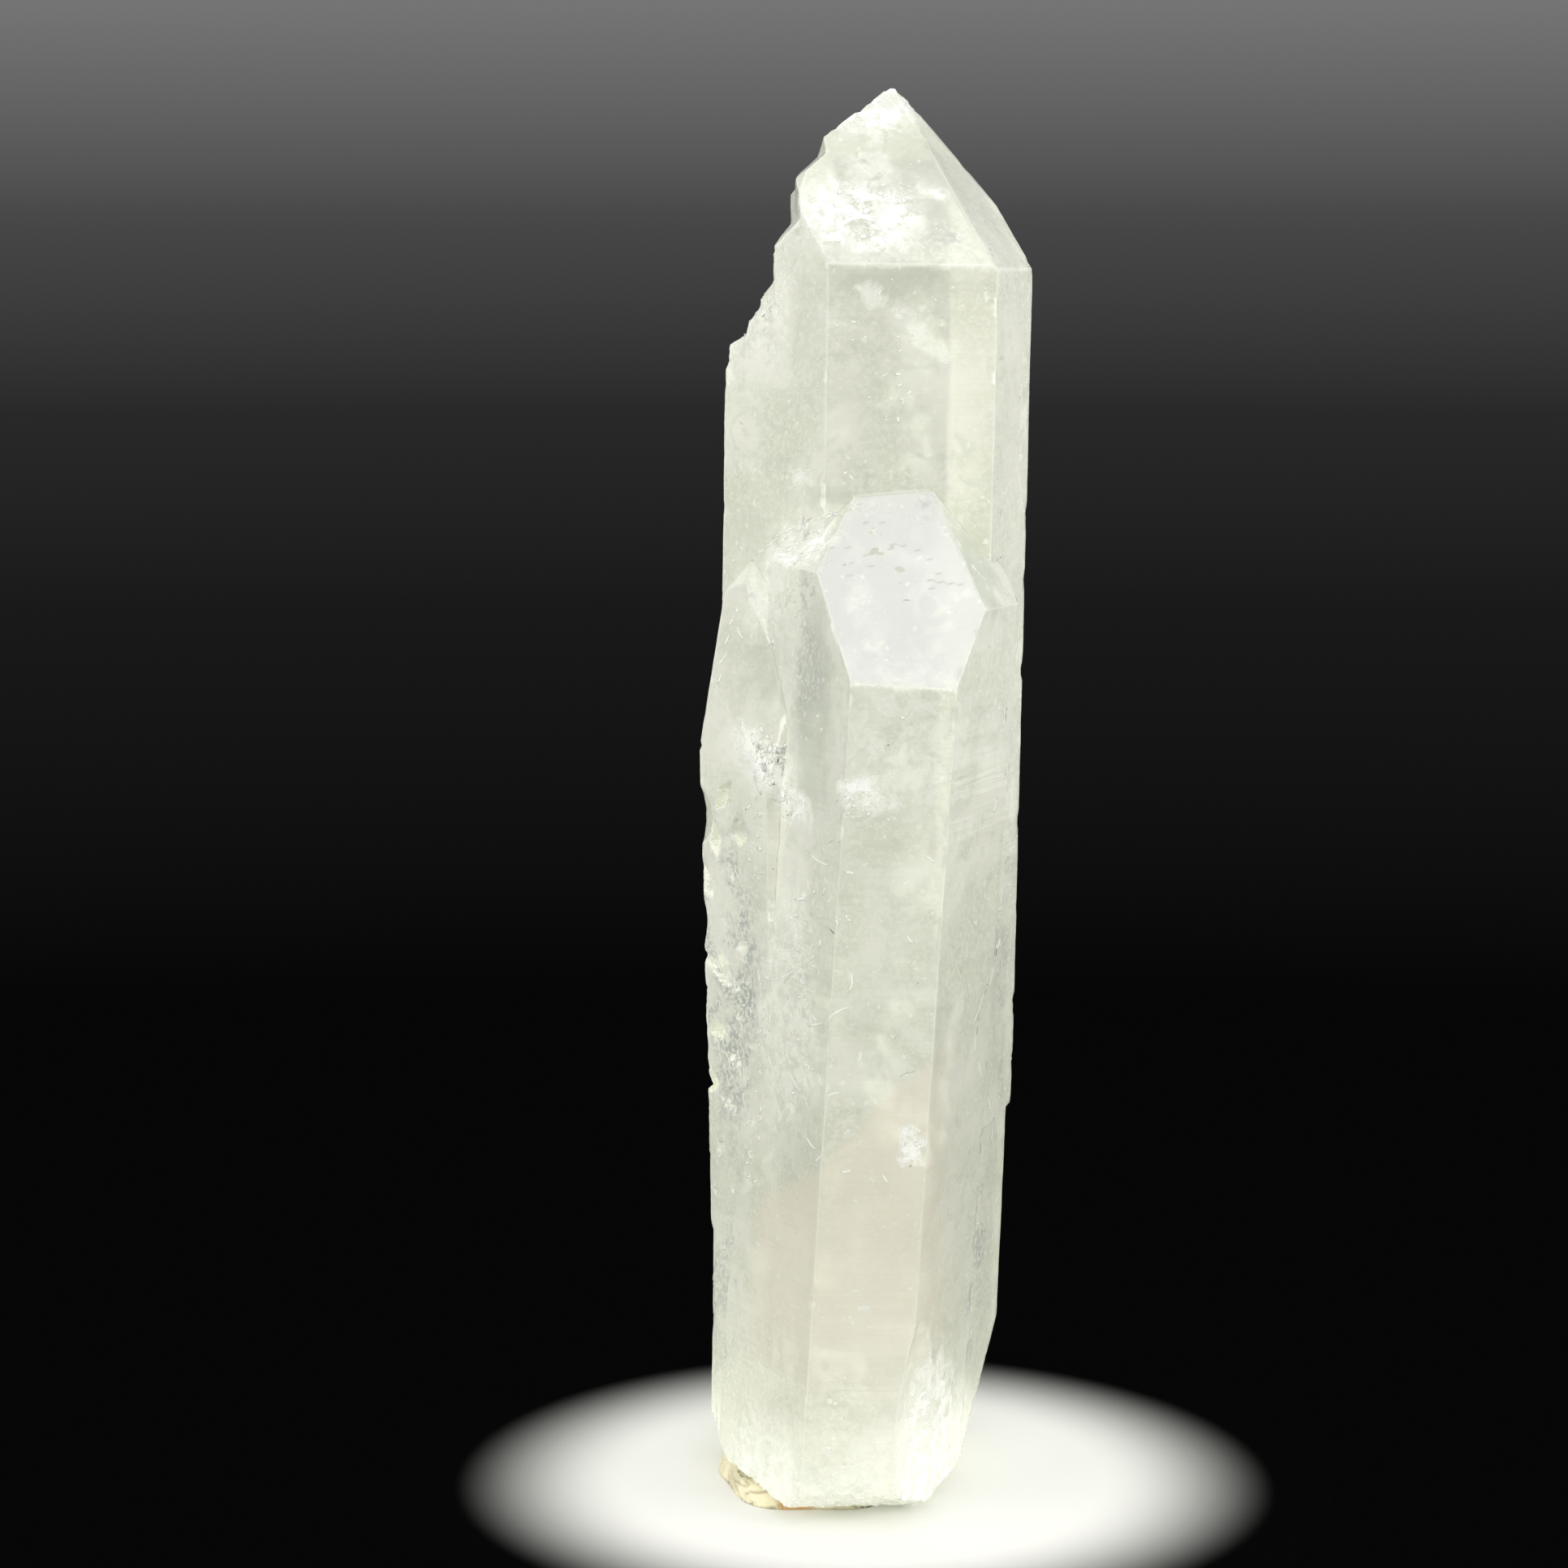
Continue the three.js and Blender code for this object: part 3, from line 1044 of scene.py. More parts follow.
class Interior:
    """The room inside the crystal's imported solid. Lengths are in millimetres."""

    def __init__(self, source: bpy.types.Object) -> None:
        """Takes the solid's surface.

        Args:
            source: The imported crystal.
        """
        corners = [v.co / MM for v in source.data.vertices]
        self.surface = BVHTree.FromPolygons(corners, [tuple(p.vertices) for p in source.data.polygons])

    def held(self, at: Vector, margin: float) -> Vector:
        """Keeps a point inside.

        Args:
            at: The point.
            margin: How far below the surface it has to be.

        Returns:
            The point itself, or the nearest one that is deep enough.
        """
        near, normal, _, _ = self.surface.find_nearest(at)
        return near - normal * margin if (at - near).dot(normal) > -margin else at

    def pinned(self, at: Vector, margin: float) -> Vector:
        """Brings a point to the surface.

        Args:
            at: The point.
            margin: How far below the surface it goes; above it where this is negative.

        Returns:
            The nearest point at that depth.
        """
        near, normal, _, _ = self.surface.find_nearest(at)
        return near - normal * margin


@dataclass
class Inclusions:
    """The veils, flakes and slivers inside the quartz. Lengths are in millimetres."""

    interior: Interior
    thickness: float = 0.05
    rings: int = 9
    spokes: int = 32
    depth: float = 0.34
    pinned: bool = False
    raggedness: float = 0.34
    rim_from: float = 0.55

    def build(self, name: str, veils: list[Veil], material: bpy.types.Material) -> bpy.types.Object:
        """Joins some veils in one piece inside the crystal.

        Args:
            name: The piece's name.
            veils: The sheets that it is made of.
            material: Their finish.

        Returns:
            The finished piece.
        """
        bm = bmesh.new()
        core = bm.verts.layers.float.new("core")
        for veil in veils:
            self._add_sheet(bm, core, veil)
        to_metres(bm)
        return finished_piece(bm, name, material)

    def _add_sheet(self, bm: bmesh.types.BMesh, core: bmesh.types.BMLayerItem, veil: Veil) -> None:
        """Adds one closed, lens-like sheet with a ragged outline.

        Args:
            bm: The mesh that is being built.
            core: The layer that fades each sheet towards its rim.
            veil: The sheet.
        """
        turned = Matrix.Rotation(math.radians(veil.turn), 4, "Z")
        tipped = Matrix.Rotation(math.radians(veil.tip), 4, "X")
        rolled = Matrix.Rotation(math.radians(veil.roll), 4, "Y")
        place = Matrix.Translation(veil.middle) @ turned @ (tipped @ rolled)
        held = self.interior.pinned if self.pinned else self.interior.held
        rim = []
        for side in (1.0, -1.0):
            depth = self.depth + self.thickness * (side < 0.0)
            grid = []
            for ring in range(1, self.rings + 1):
                if ring == self.rings and rim:
                    grid.append(rim)
                    continue
                share = ring / self.rings
                row = []
                for spoke in range(self.spokes):
                    at = self._on_sheet(veil, share, math.tau * spoke / self.spokes, side)
                    vert = bm.verts.new(held(place @ at, depth))
                    vert[core] = blend_in(share, 1.0, self.rim_from)
                    row.append(vert)
                grid.append(row)
            rim = grid[-1]
            hub = bm.verts.new(held(place @ self._on_sheet(veil, 0.0, 0.0, side), depth))
            hub[core] = 1.0
            self._close(bm, hub, grid, side > 0.0)

    def _on_sheet(self, veil: Veil, share: float, angle: float, side: float) -> Vector:
        """Gives a point of a sheet that lies flat at the origin.

        Args:
            veil: The sheet.
            share: How far out the point is, from 0 to 1.
            angle: Which way it is from the middle, in radians.
            side: 1 on one side of the sheet, -1 on the other.

        Returns:
            The point, moved by the sheet's wave, bend and thickness.
        """
        shift = Vector((veil.seed * 3.7, veil.seed * 1.3, veil.seed * 0.9))
        way = Vector((math.cos(angle), 0.0, math.sin(angle)))
        ragged = 1.0 + self.raggedness * noise.noise(way * 1.6 + shift)
        flat = Vector((way.x * veil.half[0], 0.0, way.z * veil.half[1])) * share * ragged
        flat.y = veil.wave * noise.noise(flat * 0.55 + shift)
        flat.z += veil.bend * (flat.x / veil.half[0]) ** 2
        flat.y += side * 0.5 * self.thickness * (1.0 - share * share)
        return flat

    def _close(
        self,
        bm: bmesh.types.BMesh,
        hub: bmesh.types.BMVert,
        grid: list[list[bmesh.types.BMVert]],
        outward: bool,
    ) -> None:
        """Fills one side of a sheet with faces.

        Args:
            bm: The mesh that is being built.
            hub: The middle vertex.
            grid: The rings of vertices, from the hub out.
            outward: Which way the faces turn.
        """
        for spoke in range(self.spokes):
            following = (spoke + 1) % self.spokes
            faces = [(hub, grid[0][spoke], grid[0][following])]
            for inner, outer in zip(grid, grid[1:]):
                faces.append((inner[spoke], outer[spoke], outer[following], inner[following]))
            for corners in faces:
                bm.faces.new(corners if outward else tuple(reversed(corners)))


def scatter(
    middle: tuple[float, float, float],
    spread: tuple[float, float, float],
    count: int,
    size: tuple[float, float],
    seed: int,
    slim: tuple[float, float] = (0.18, 0.5),
) -> list[Veil]:
    """Strews small flakes through an ellipsoid.

    Args:
        middle: The ellipsoid's middle.
        spread: Its half sizes.
        count: How many flakes there are.
        size: The smallest and largest half length of a flake.
        seed: The seed of the draws.
        slim: The smallest and largest share of its length that a flake is wide.

    Returns:
        The flakes.
    """
    draw = random.Random(seed)
    flakes = []
    for i in range(count):
        length = draw.uniform(*size)
        where = tuple(m + s * draw.uniform(-1.0, 1.0) for m, s in zip(middle, spread))
        flakes.append(
            Veil(
                where,
                (length, length * draw.uniform(*slim)),
                turn=draw.uniform(-70.0, 70.0),
                tip=draw.uniform(-50.0, 50.0),
                roll=draw.uniform(-80.0, 80.0),
                wave=0.1,
                seed=seed + i,
            )
        )
    return flakes


def bright_veils() -> list[Veil]:
    """Lists the strong white veils.

    Returns:
        The cloud behind the front tip facet, and the patches lower down.
    """
    return [
        Veil((0.3, 0.5, 90.7), (3.0, 2.9), turn=8.0, tip=-37.0, wave=0.7, seed=3),
        Veil((-1.7, 0.5, 90.4), (2.9, 2.3), turn=4.0, tip=-34.0, wave=0.9, seed=5),
        Veil((0.5, 1.3, 89.8), (3.9, 1.9), turn=10.0, tip=-40.0, wave=0.8, seed=8),
        Veil((-0.1, 2.3, 93.7), (2.0, 1.5), turn=10.0, tip=-40.0, wave=0.8, seed=9),
        Veil((2.2, -0.6, 89.0), (2.2, 0.7), turn=8.0, tip=-36.0, wave=0.5, seed=10),
        Veil((4.3, 1.7, 92.4), (1.1, 0.55), turn=8.0, tip=-38.0, roll=-14.0, wave=0.3, seed=11),
        Veil((-6.8, -1.8, 52.9), (2.3, 1.7), turn=30.0, roll=32.0, wave=0.6, seed=14),
        Veil((-5.0, -3.4, 51.3), (2.2, 1.0), turn=24.0, roll=36.0, wave=0.6, seed=17),
        Veil((-8.2, -0.6, 53.8), (1.4, 1.0), turn=30.0, roll=20.0, wave=0.4, seed=18),
        Veil((-0.4, -10.7, 52.2), (1.4, 1.3), turn=8.0, roll=26.0, wave=0.4, seed=20),
        Veil((2.9, -11.0, 27.8), (0.65, 1.4), turn=12.0, roll=10.0, wave=0.5, seed=23),
        Veil((3.3, -10.6, 26.8), (0.55, 0.9), turn=16.0, roll=-18.0, wave=0.4, seed=24),
        Veil((-5.8, -0.9, 73.5), (1.0, 0.4), turn=14.0, roll=24.0, wave=0.2, seed=27),
        Veil((4.2, -0.2, 82.2), (2.1, 0.8), turn=8.0, roll=34.0, wave=0.5, seed=29),
        Veil((-7.9, -3.6, 3.6), (0.8, 0.9), turn=-12.0, roll=12.0, wave=0.2, seed=32),
        Veil((-4.0, -8.0, 2.1), (0.7, 0.6), turn=10.0, roll=-12.0, wave=0.2, seed=35),
    ]


def soft_veils() -> list[Veil]:
    """Lists the faint, broad veils that make the quartz milky.

    Returns:
        Sheets through the whole length of both crystals.
    """
    draw = random.Random(41)
    veils = []
    for i in range(34):
        height = 6.0 + 2.5 * i
        depths = (-8.0, 6.0) if height < FRONT_TIP_FROM else (0.8, 7.0)
        veils.append(
            Veil(
                (draw.uniform(-5.5, 5.5), draw.uniform(*depths), height),
                (draw.uniform(1.6, 3.2), draw.uniform(2.0, 4.4)),
                turn=draw.uniform(-40.0, 40.0),
                tip=draw.uniform(-25.0, 25.0),
                roll=draw.uniform(-40.0, 40.0),
                wave=0.35,
                seed=60 + i,
            )
        )
    return veils


def flakes() -> list[Veil]:
    """Lists the small bright flakes.

    Returns:
        Those that can be told apart under the upper faces, and swarms in the cracked zones.
    """
    spots = (
        (-0.9, -2.5, 86.2, 0.4), (0.5, -2.4, 85.6, 0.3), (3.6, -2.2, 84.8, 0.35),
        (2.1, -2.1, 84.2, 0.4), (5.1, -1.8, 83.8, 0.35), (-4.3, -1.5, 82.4, 0.3),
        (1.3, -2.2, 81.2, 0.25), (3.3, -2.0, 80.9, 0.3), (10.3, 3.8, 85.0, 0.5),
        (1.8, 2.2, 93.2, 0.16), (3.4, 2.6, 93.6, 0.18), (-3.2, -11.6, 8.1, 0.3),
        (-2.4, -11.6, 8.3, 0.25), (-1.3, -11.8, 5.8, 0.4), (-5.6, 0.5, 78.0, 0.3),
        (-2.0, 1.0, 76.0, 0.2),
    )
    found = [
        Veil((x, y, z), (size, 0.55 * size), turn=8.0, roll=37.0 * i % 90.0, wave=0.1, seed=900 + i)
        for i, (x, y, z, size) in enumerate(spots)
    ]
    found += scatter((-8.2, -1.6, 37.0), (2.0, 2.0, 14.0), 80, (0.15, 0.6), 300)
    found += scatter((-3.6, -6.6, 37.0), (3.4, 2.6, 9.0), 60, (0.15, 0.55), 500)
    found += scatter((0.5, -9.5, 33.0), (3.0, 2.0, 20.0), 30, (0.08, 0.28), 650)
    found += scatter((2.0, 2.0, 79.0), (6.5, 2.6, 7.0), 44, (0.1, 0.4), 700)
    found += scatter((-1.0, 3.5, 92.0), (3.0, 1.6, 3.0), 26, (0.1, 0.35), 800)
    return found


def marks() -> list[Veil]:
    """Lists the small bright slivers that lie right under the faces.

    Returns:
        The slivers of the upper prism, of the cracked left side and of the foot.
    """
    found = scatter((-8.6, -4.0, 37.0), (1.6, 1.0, 14.0), 90, (0.10, 0.55), 1300)
    found += scatter((-4.4, -9.0, 38.0), (2.8, 2.0, 7.5), 46, (0.10, 0.5), 1500)
    found += scatter((-4.4, -9.0, 37.5), (3.0, 2.0, 7.0), 22, (0.6, 1.5), 1600, slim=(0.05, 0.12))
    found += scatter((-8.0, -4.0, 62.0), (2.4, 1.0, 12.0), 12, (0.3, 1.1), 1650, slim=(0.05, 0.14))
    found += scatter((1.6, -3.4, 82.0), (5.6, 0.4, 5.0), 34, (0.08, 0.34), 1700)
    found += scatter((11.4, 0.0, 45.0), (0.6, 3.0, 34.0), 44, (0.10, 0.5), 1800)
    found += scatter((-0.5, -12.5, 5.0), (6.0, 1.0, 4.0), 16, (0.08, 0.3), 1900)
    found += scatter((-0.5, 0.0, 92.0), (4.0, 3.0, 4.0), 30, (0.08, 0.3), 2000)
    found += scatter((1.6, -12.0, 58.0), (5.0, 4.0, 9.0), 26, (0.06, 0.24), 2100)
    found += scatter((-5.0, -3.4, 69.5), (3.0, 1.0, 2.0), 12, (0.2, 0.8), 2200)
    found += scatter((-8.5, -4.0, 54.6), (1.3, 1.0, 1.0), 26, (0.1, 0.5), 2210, slim=(0.2, 0.6))
    found += scatter((-7.0, -4.4, 53.0), (1.2, 1.0, 1.6), 48, (0.2, 0.8), 2240, slim=(0.2, 0.6))
    found += scatter((-5.7, -5.6, 50.9), (0.9, 1.0, 1.3), 30, (0.12, 0.5), 2290, slim=(0.2, 0.6))
    found += scatter((-0.9, -12.9, 51.9), (1.3, 0.4, 1.2), 22, (0.1, 0.4), 2330, slim=(0.2, 0.6))
    found += scatter((2.9, -12.9, 27.7), (0.7, 0.3, 1.5), 24, (0.1, 0.35), 2360, slim=(0.3, 0.7))
    found += scatter((0.0, -0.2, 90.6), (2.8, 1.6, 2.4), 46, (0.12, 0.5), 2390, slim=(0.3, 0.8))
    return found


def slivers(rows: tuple[tuple[float, ...], ...], width: float, seed: int) -> list[Veil]:
    """Lays slim curved slivers on the faces.

    Args:
        rows: For each, the middle's x, y and z, the half length, the turn, the roll and the bend.
        width: Their half width.
        seed: The seed of the first one.

    Returns:
        The slivers.
    """
    return [
        Veil((x, y, z), (length, width), turn=turn, roll=roll, wave=0.02, seed=seed + i, bend=bend)
        for i, (x, y, z, length, turn, roll, bend) in enumerate(rows)
    ]


def fine_cracks() -> list[Veil]:
    """Lists the fine cracks that catch the light.

    Returns:
        The arcs low on the left, the streaks beside the front tip and those along the right edge.
    """
    arcs = (
        (-5.7, -6.8, 38.6, 2.9, -63, -24, 0.37), (-2.4, -12.9, 37.2, 1.3, 2, -35, -0.23),
        (-2.7, -11.9, 44.9, 0.6, -63, -38, 0.14), (-2.3, -12.9, 43.7, 0.5, 2, 60, -0.05),
        (-1.5, -12.9, 43.8, 0.4, 2, 50, 0.09), (-6.8, -5.5, 32.1, 0.7, -63, 51, -0.10),
        (-5.0, -9.0, 31.3, 1.0, -63, 28, 0.18), (-4.1, -10.5, 33.0, 1.0, -63, 5, -0.05),
        (-3.4, -12.2, 32.4, 0.6, -63, 69, 0.12), (-2.5, -12.9, 31.6, 0.6, 2, -20, -0.11),
        (-5.3, -8.6, 29.9, 0.7, -63, 59, 0.18), (-7.3, -4.7, 29.3, 0.6, -63, -69, -0.06),
        (-3.4, -10.3, 47.3, 1.7, -63, 7, 0.18), (-1.4, -12.9, 47.0, 0.4, 2, 10, -0.07),
        (-9.2, -1.0, 44.8, 1.1, -60, 47, 0.27), (1.1, -12.8, 25.6, 0.5, 2, 60, -0.05),
        (-1.6, -12.9, 26.1, 0.5, 2, -5, 0.11), (-7.6, -3.5, 37.8, 1.9, -60, 71, -0.32),
        (-1.2, -12.9, 39.4, 0.9, 2, -85, 0.27), (-5.5, -6.8, 42.9, 1.3, -63, 18, -0.07),
        (-4.7, -8.3, 42.5, 0.8, -63, 28, 0.11), (-6.8, -5.0, 35.3, 1.1, -63, -79, -0.20),
        (-4.0, -11.4, 27.7, 1.1, -63, 21, 0.18), (-3.4, -12.6, 27.0, 0.7, -63, -38, -0.05),
        (-4.3, -9.8, 37.1, 0.5, -63, -51, 0.09), (-3.8, -10.8, 36.5, 0.7, -63, 15, -0.06),
        (2.7, -12.8, 42.3, 0.4, 2, 50, 0.12), (4.1, -12.7, 47.9, 0.5, 2, 40, -0.05),
    )
    beside_tip = (
        (-6.7, 0.6, 68.3, 1.1, -52, -32, 0.06), (-6.0, -0.2, 69.1, 1.2, -52, -29, 0.06),
        (-5.1, -1.4, 69.6, 1.4, -52, -27, 0.06), (-4.2, -2.5, 70.1, 1.4, -52, -26, 0.06),
        (-3.1, -3.8, 70.5, 1.2, -52, -22, 0.06), (-6.2, -1.1, 67.9, 1.2, -62, -22, 0.06),
        (-5.3, -2.0, 68.3, 1.7, -62, -23, 0.06), (-4.4, -2.7, 68.8, 1.9, -62, -22, 0.06),
        (-3.4, -3.6, 69.3, 1.4, -62, -20, 0.06), (-5.1, -3.6, 67.7, 1.8, -62, -10, 0.06),
        (-4.2, -4.5, 68.1, 1.3, -62, -18, 0.06), (-3.7, -4.5, 68.6, 1.1, -62, -18, 0.06),
        (-2.6, -3.8, 70.6, 0.6, 8, -28, 0.06), (-7.3, 1.5, 67.7, 1.0, -52, -29, 0.06),
        (-3.3, -5.9, 68.2, 0.7, -62, -39, 0.06), (-4.4, -5.5, 67.3, 1.5, -62, 6, 0.06),
        (-5.5, -0.7, 73.1, 0.4, -52, -47, 0.06), (-5.9, -0.2, 72.9, 0.4, -52, -59, 0.06),
        (-5.1, -1.3, 73.4, 0.5, -52, -20, 0.06), (-4.5, -2.0, 73.3, 0.4, -52, -36, 0.06),
        (-4.2, -2.5, 73.6, 0.5, -52, -13, 0.06), (-8.5, 3.0, 69.3, 0.4, -52, 41, 0.06),
        (-9.2, 3.9, 68.0, 0.3, -52, -74, 0.06), (-8.9, 3.4, 67.6, 0.3, -52, 47, 0.06),
        (-9.5, 4.2, 66.7, 0.3, -52, -6, 0.06), (-1.2, -3.6, 73.2, 0.3, 8, 50, 0.06),
        (-1.6, -3.7, 73.5, 0.2, 8, -20, 0.06), (-9.5, 1.4, 62.7, 0.7, -48, -61, 0.10),
        (-9.9, 1.3, 61.3, 0.6, -48, -68, 0.10), (-10.1, 1.2, 60.0, 0.8, -48, -55, 0.10),
        (-9.0, 0.5, 61.9, 0.7, -48, 49, 0.10), (-10.4, 1.0, 58.6, 0.5, -48, -75, 0.10),
        (-9.2, 1.2, 63.4, 0.4, -48, -83, 0.10),
    )
    right_edge = (
        (9.5, -4.1, 56.2, 1.6, 66, -85, 0.10), (9.5, -3.8, 53.4, 1.0, 66, -85, -0.12),
        (8.9, -4.5, 50.3, 0.7, 66, -57, 0.10), (9.8, 1.5, 42.7, 1.3, 66, -80, -0.12),
        (9.6, 1.2, 39.4, 0.8, 66, -35, 0.10), (8.9, -2.9, 38.2, 1.3, 66, -67, -0.12),
        (7.9, -4.9, 36.0, 1.8, 66, -48, 0.10), (7.6, -5.3, 33.6, 1.2, 66, -85, -0.12),
        (8.0, -4.1, 31.3, 1.2, 66, 57, 0.10), (9.0, 0.4, 27.7, 1.1, 66, 62, -0.12),
        (9.3, 2.5, 25.1, 0.9, 66, -85, 0.10),
    )
    found = slivers(arcs, width=0.075, seed=2400)
    found += slivers(beside_tip, width=0.07, seed=2500)
    return found + slivers(right_edge, width=0.08, seed=2600)


def dark_streaks() -> list[Veil]:
    """Lists the grey streaks.

    Returns:
        Those along the right edge, and the ticks among the arcs.
    """
    rows = (
        (9.7, -3.7, 56.9, 1.2, 66, -85, 0.08), (9.7, -3.1, 52.5, 1.0, 66, -85, 0.08),
        (9.3, 0.6, 38.5, 1.1, 66, -67, 0.08), (8.5, -3.8, 37.3, 1.2, 66, -51, 0.08),
        (7.8, -5.0, 34.8, 1.1, 66, -80, 0.08), (9.5, 0.9, 41.0, 0.8, 66, -80, 0.08),
        (-3.4, -10.8, 43.1, 0.1, -63, -69, 0.05), (-2.5, -12.6, 42.8, 0.6, -63, 15, 0.05),
        (-3.4, -11.4, 37.5, 0.3, -63, -69, 0.05), (3.3, -12.7, 39.3, 0.1, 2, -60, 0.05),
        (-3.8, -10.7, 38.0, 0.2, -63, -21, 0.05), (-6.6, -4.8, 45.8, 0.1, 0, -0, 0.05),
        (-8.3, -2.6, 48.8, 0.2, -60, -0, 0.05), (2.9, -12.7, 26.6, 0.3, 2, -70, 0.05),
        (1.2, -12.8, 55.7, 0.1, 2, -0, 0.05),
    )
    return slivers(rows, width=0.07, seed=2700)


def dark_specks() -> list[Veil]:
    """Lists the grey specks.

    Returns:
        The speckle at the right of the tip facet, and the ticks near the foot.
    """
    spots = (
        (3.4, -8.3, 5.5, 0.22), (3.7, -8.3, 4.2, 0.18), (4.2, -7.6, 3.5, 0.2),
        (-5.8, -8.6, 4.0, 0.22), (-0.5, -11.4, 6.0, 0.24), (5.5, -1.2, 86.4, 0.3),
        (1.6, -11.9, 12.2, 0.08), (-0.4, -12.0, 33.4, 0.08),
    )
    ticks = [
        Veil((x, y, z), (0.5 * size, size), turn=8.0, roll=20.0 + 50.0 * i, wave=0.05, seed=950 + i)
        for i, (x, y, z, size) in enumerate(spots)
    ]
    return [Veil((5.4, 0.1, 89.5), (0.95, 1.1), turn=8.0, tip=-38.0, wave=0.3, seed=31), *ticks]


# Putty


@dataclass
class PuttyPad:
    """The squashed putty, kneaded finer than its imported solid. Lengths are in millimetres."""

    cell: float = 0.28
    splits: int = 4
    fold_depth: float = 0.22

    def build(self, source: bpy.types.Object, material: bpy.types.Material) -> bpy.types.Object:
        """Makes the pad and puts it in place of the solid.

        Args:
            source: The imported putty.
            material: Its finish.

        Returns:
            The finished piece.
        """
        bm = load_in_mm(source)
        for _ in range(self.splits):
            split_longer(bm, [e for e in bm.edges if e.calc_length() > self.cell])
        self._knead(bm)
        to_metres(bm)
        piece = finished_piece(bm, "putty_pad", material)
        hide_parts(Node.PUTTY.value)
        return piece

    def _knead(self, bm: bmesh.types.BMesh) -> None:
        """Presses folds and creases into the pad, down to its flat foot.

        Args:
            bm: The pad, in millimetres, which also gets the marks that its finish reads.
        """
        bm.normal_update()
        crease = bm.verts.layers.float.new("crease")
        stain = bm.verts.layers.float.new("stain")
        for v in bm.verts:
            at = v.co
            ridge = abs(noise.noise(Vector((at.x * 0.35, at.y * 0.35, at.z * 1.6 + 3.0))))
            fold = blend_in(ridge, 0.10, 0.0)
            # the crease mark is where the finish paints shade in the folds
            v[crease] = 0.5 * fold
            v[stain] = 0.9 * hill(at, Vector((-5.0, -7.2, 0.2)), Vector((1.7, 2.0, 0.9)))
            if v.normal.z > -0.5 and at.z > 0.05:
                v.co = at - v.normal * self.fold_depth * (fold + 0.4 * abs(noise.noise(at * 1.5)))
                v.co.z = max(v.co.z, 0.0)


# Studio


@dataclass(frozen=True)
class Softbox:
    """One studio light, aimed at the middle of the specimen. Lengths are in metres."""

    name: str
    place: tuple[float, float, float]
    width: float
    height: float
    power: float
    colour: Colour = (1.0, 1.0, 1.0)


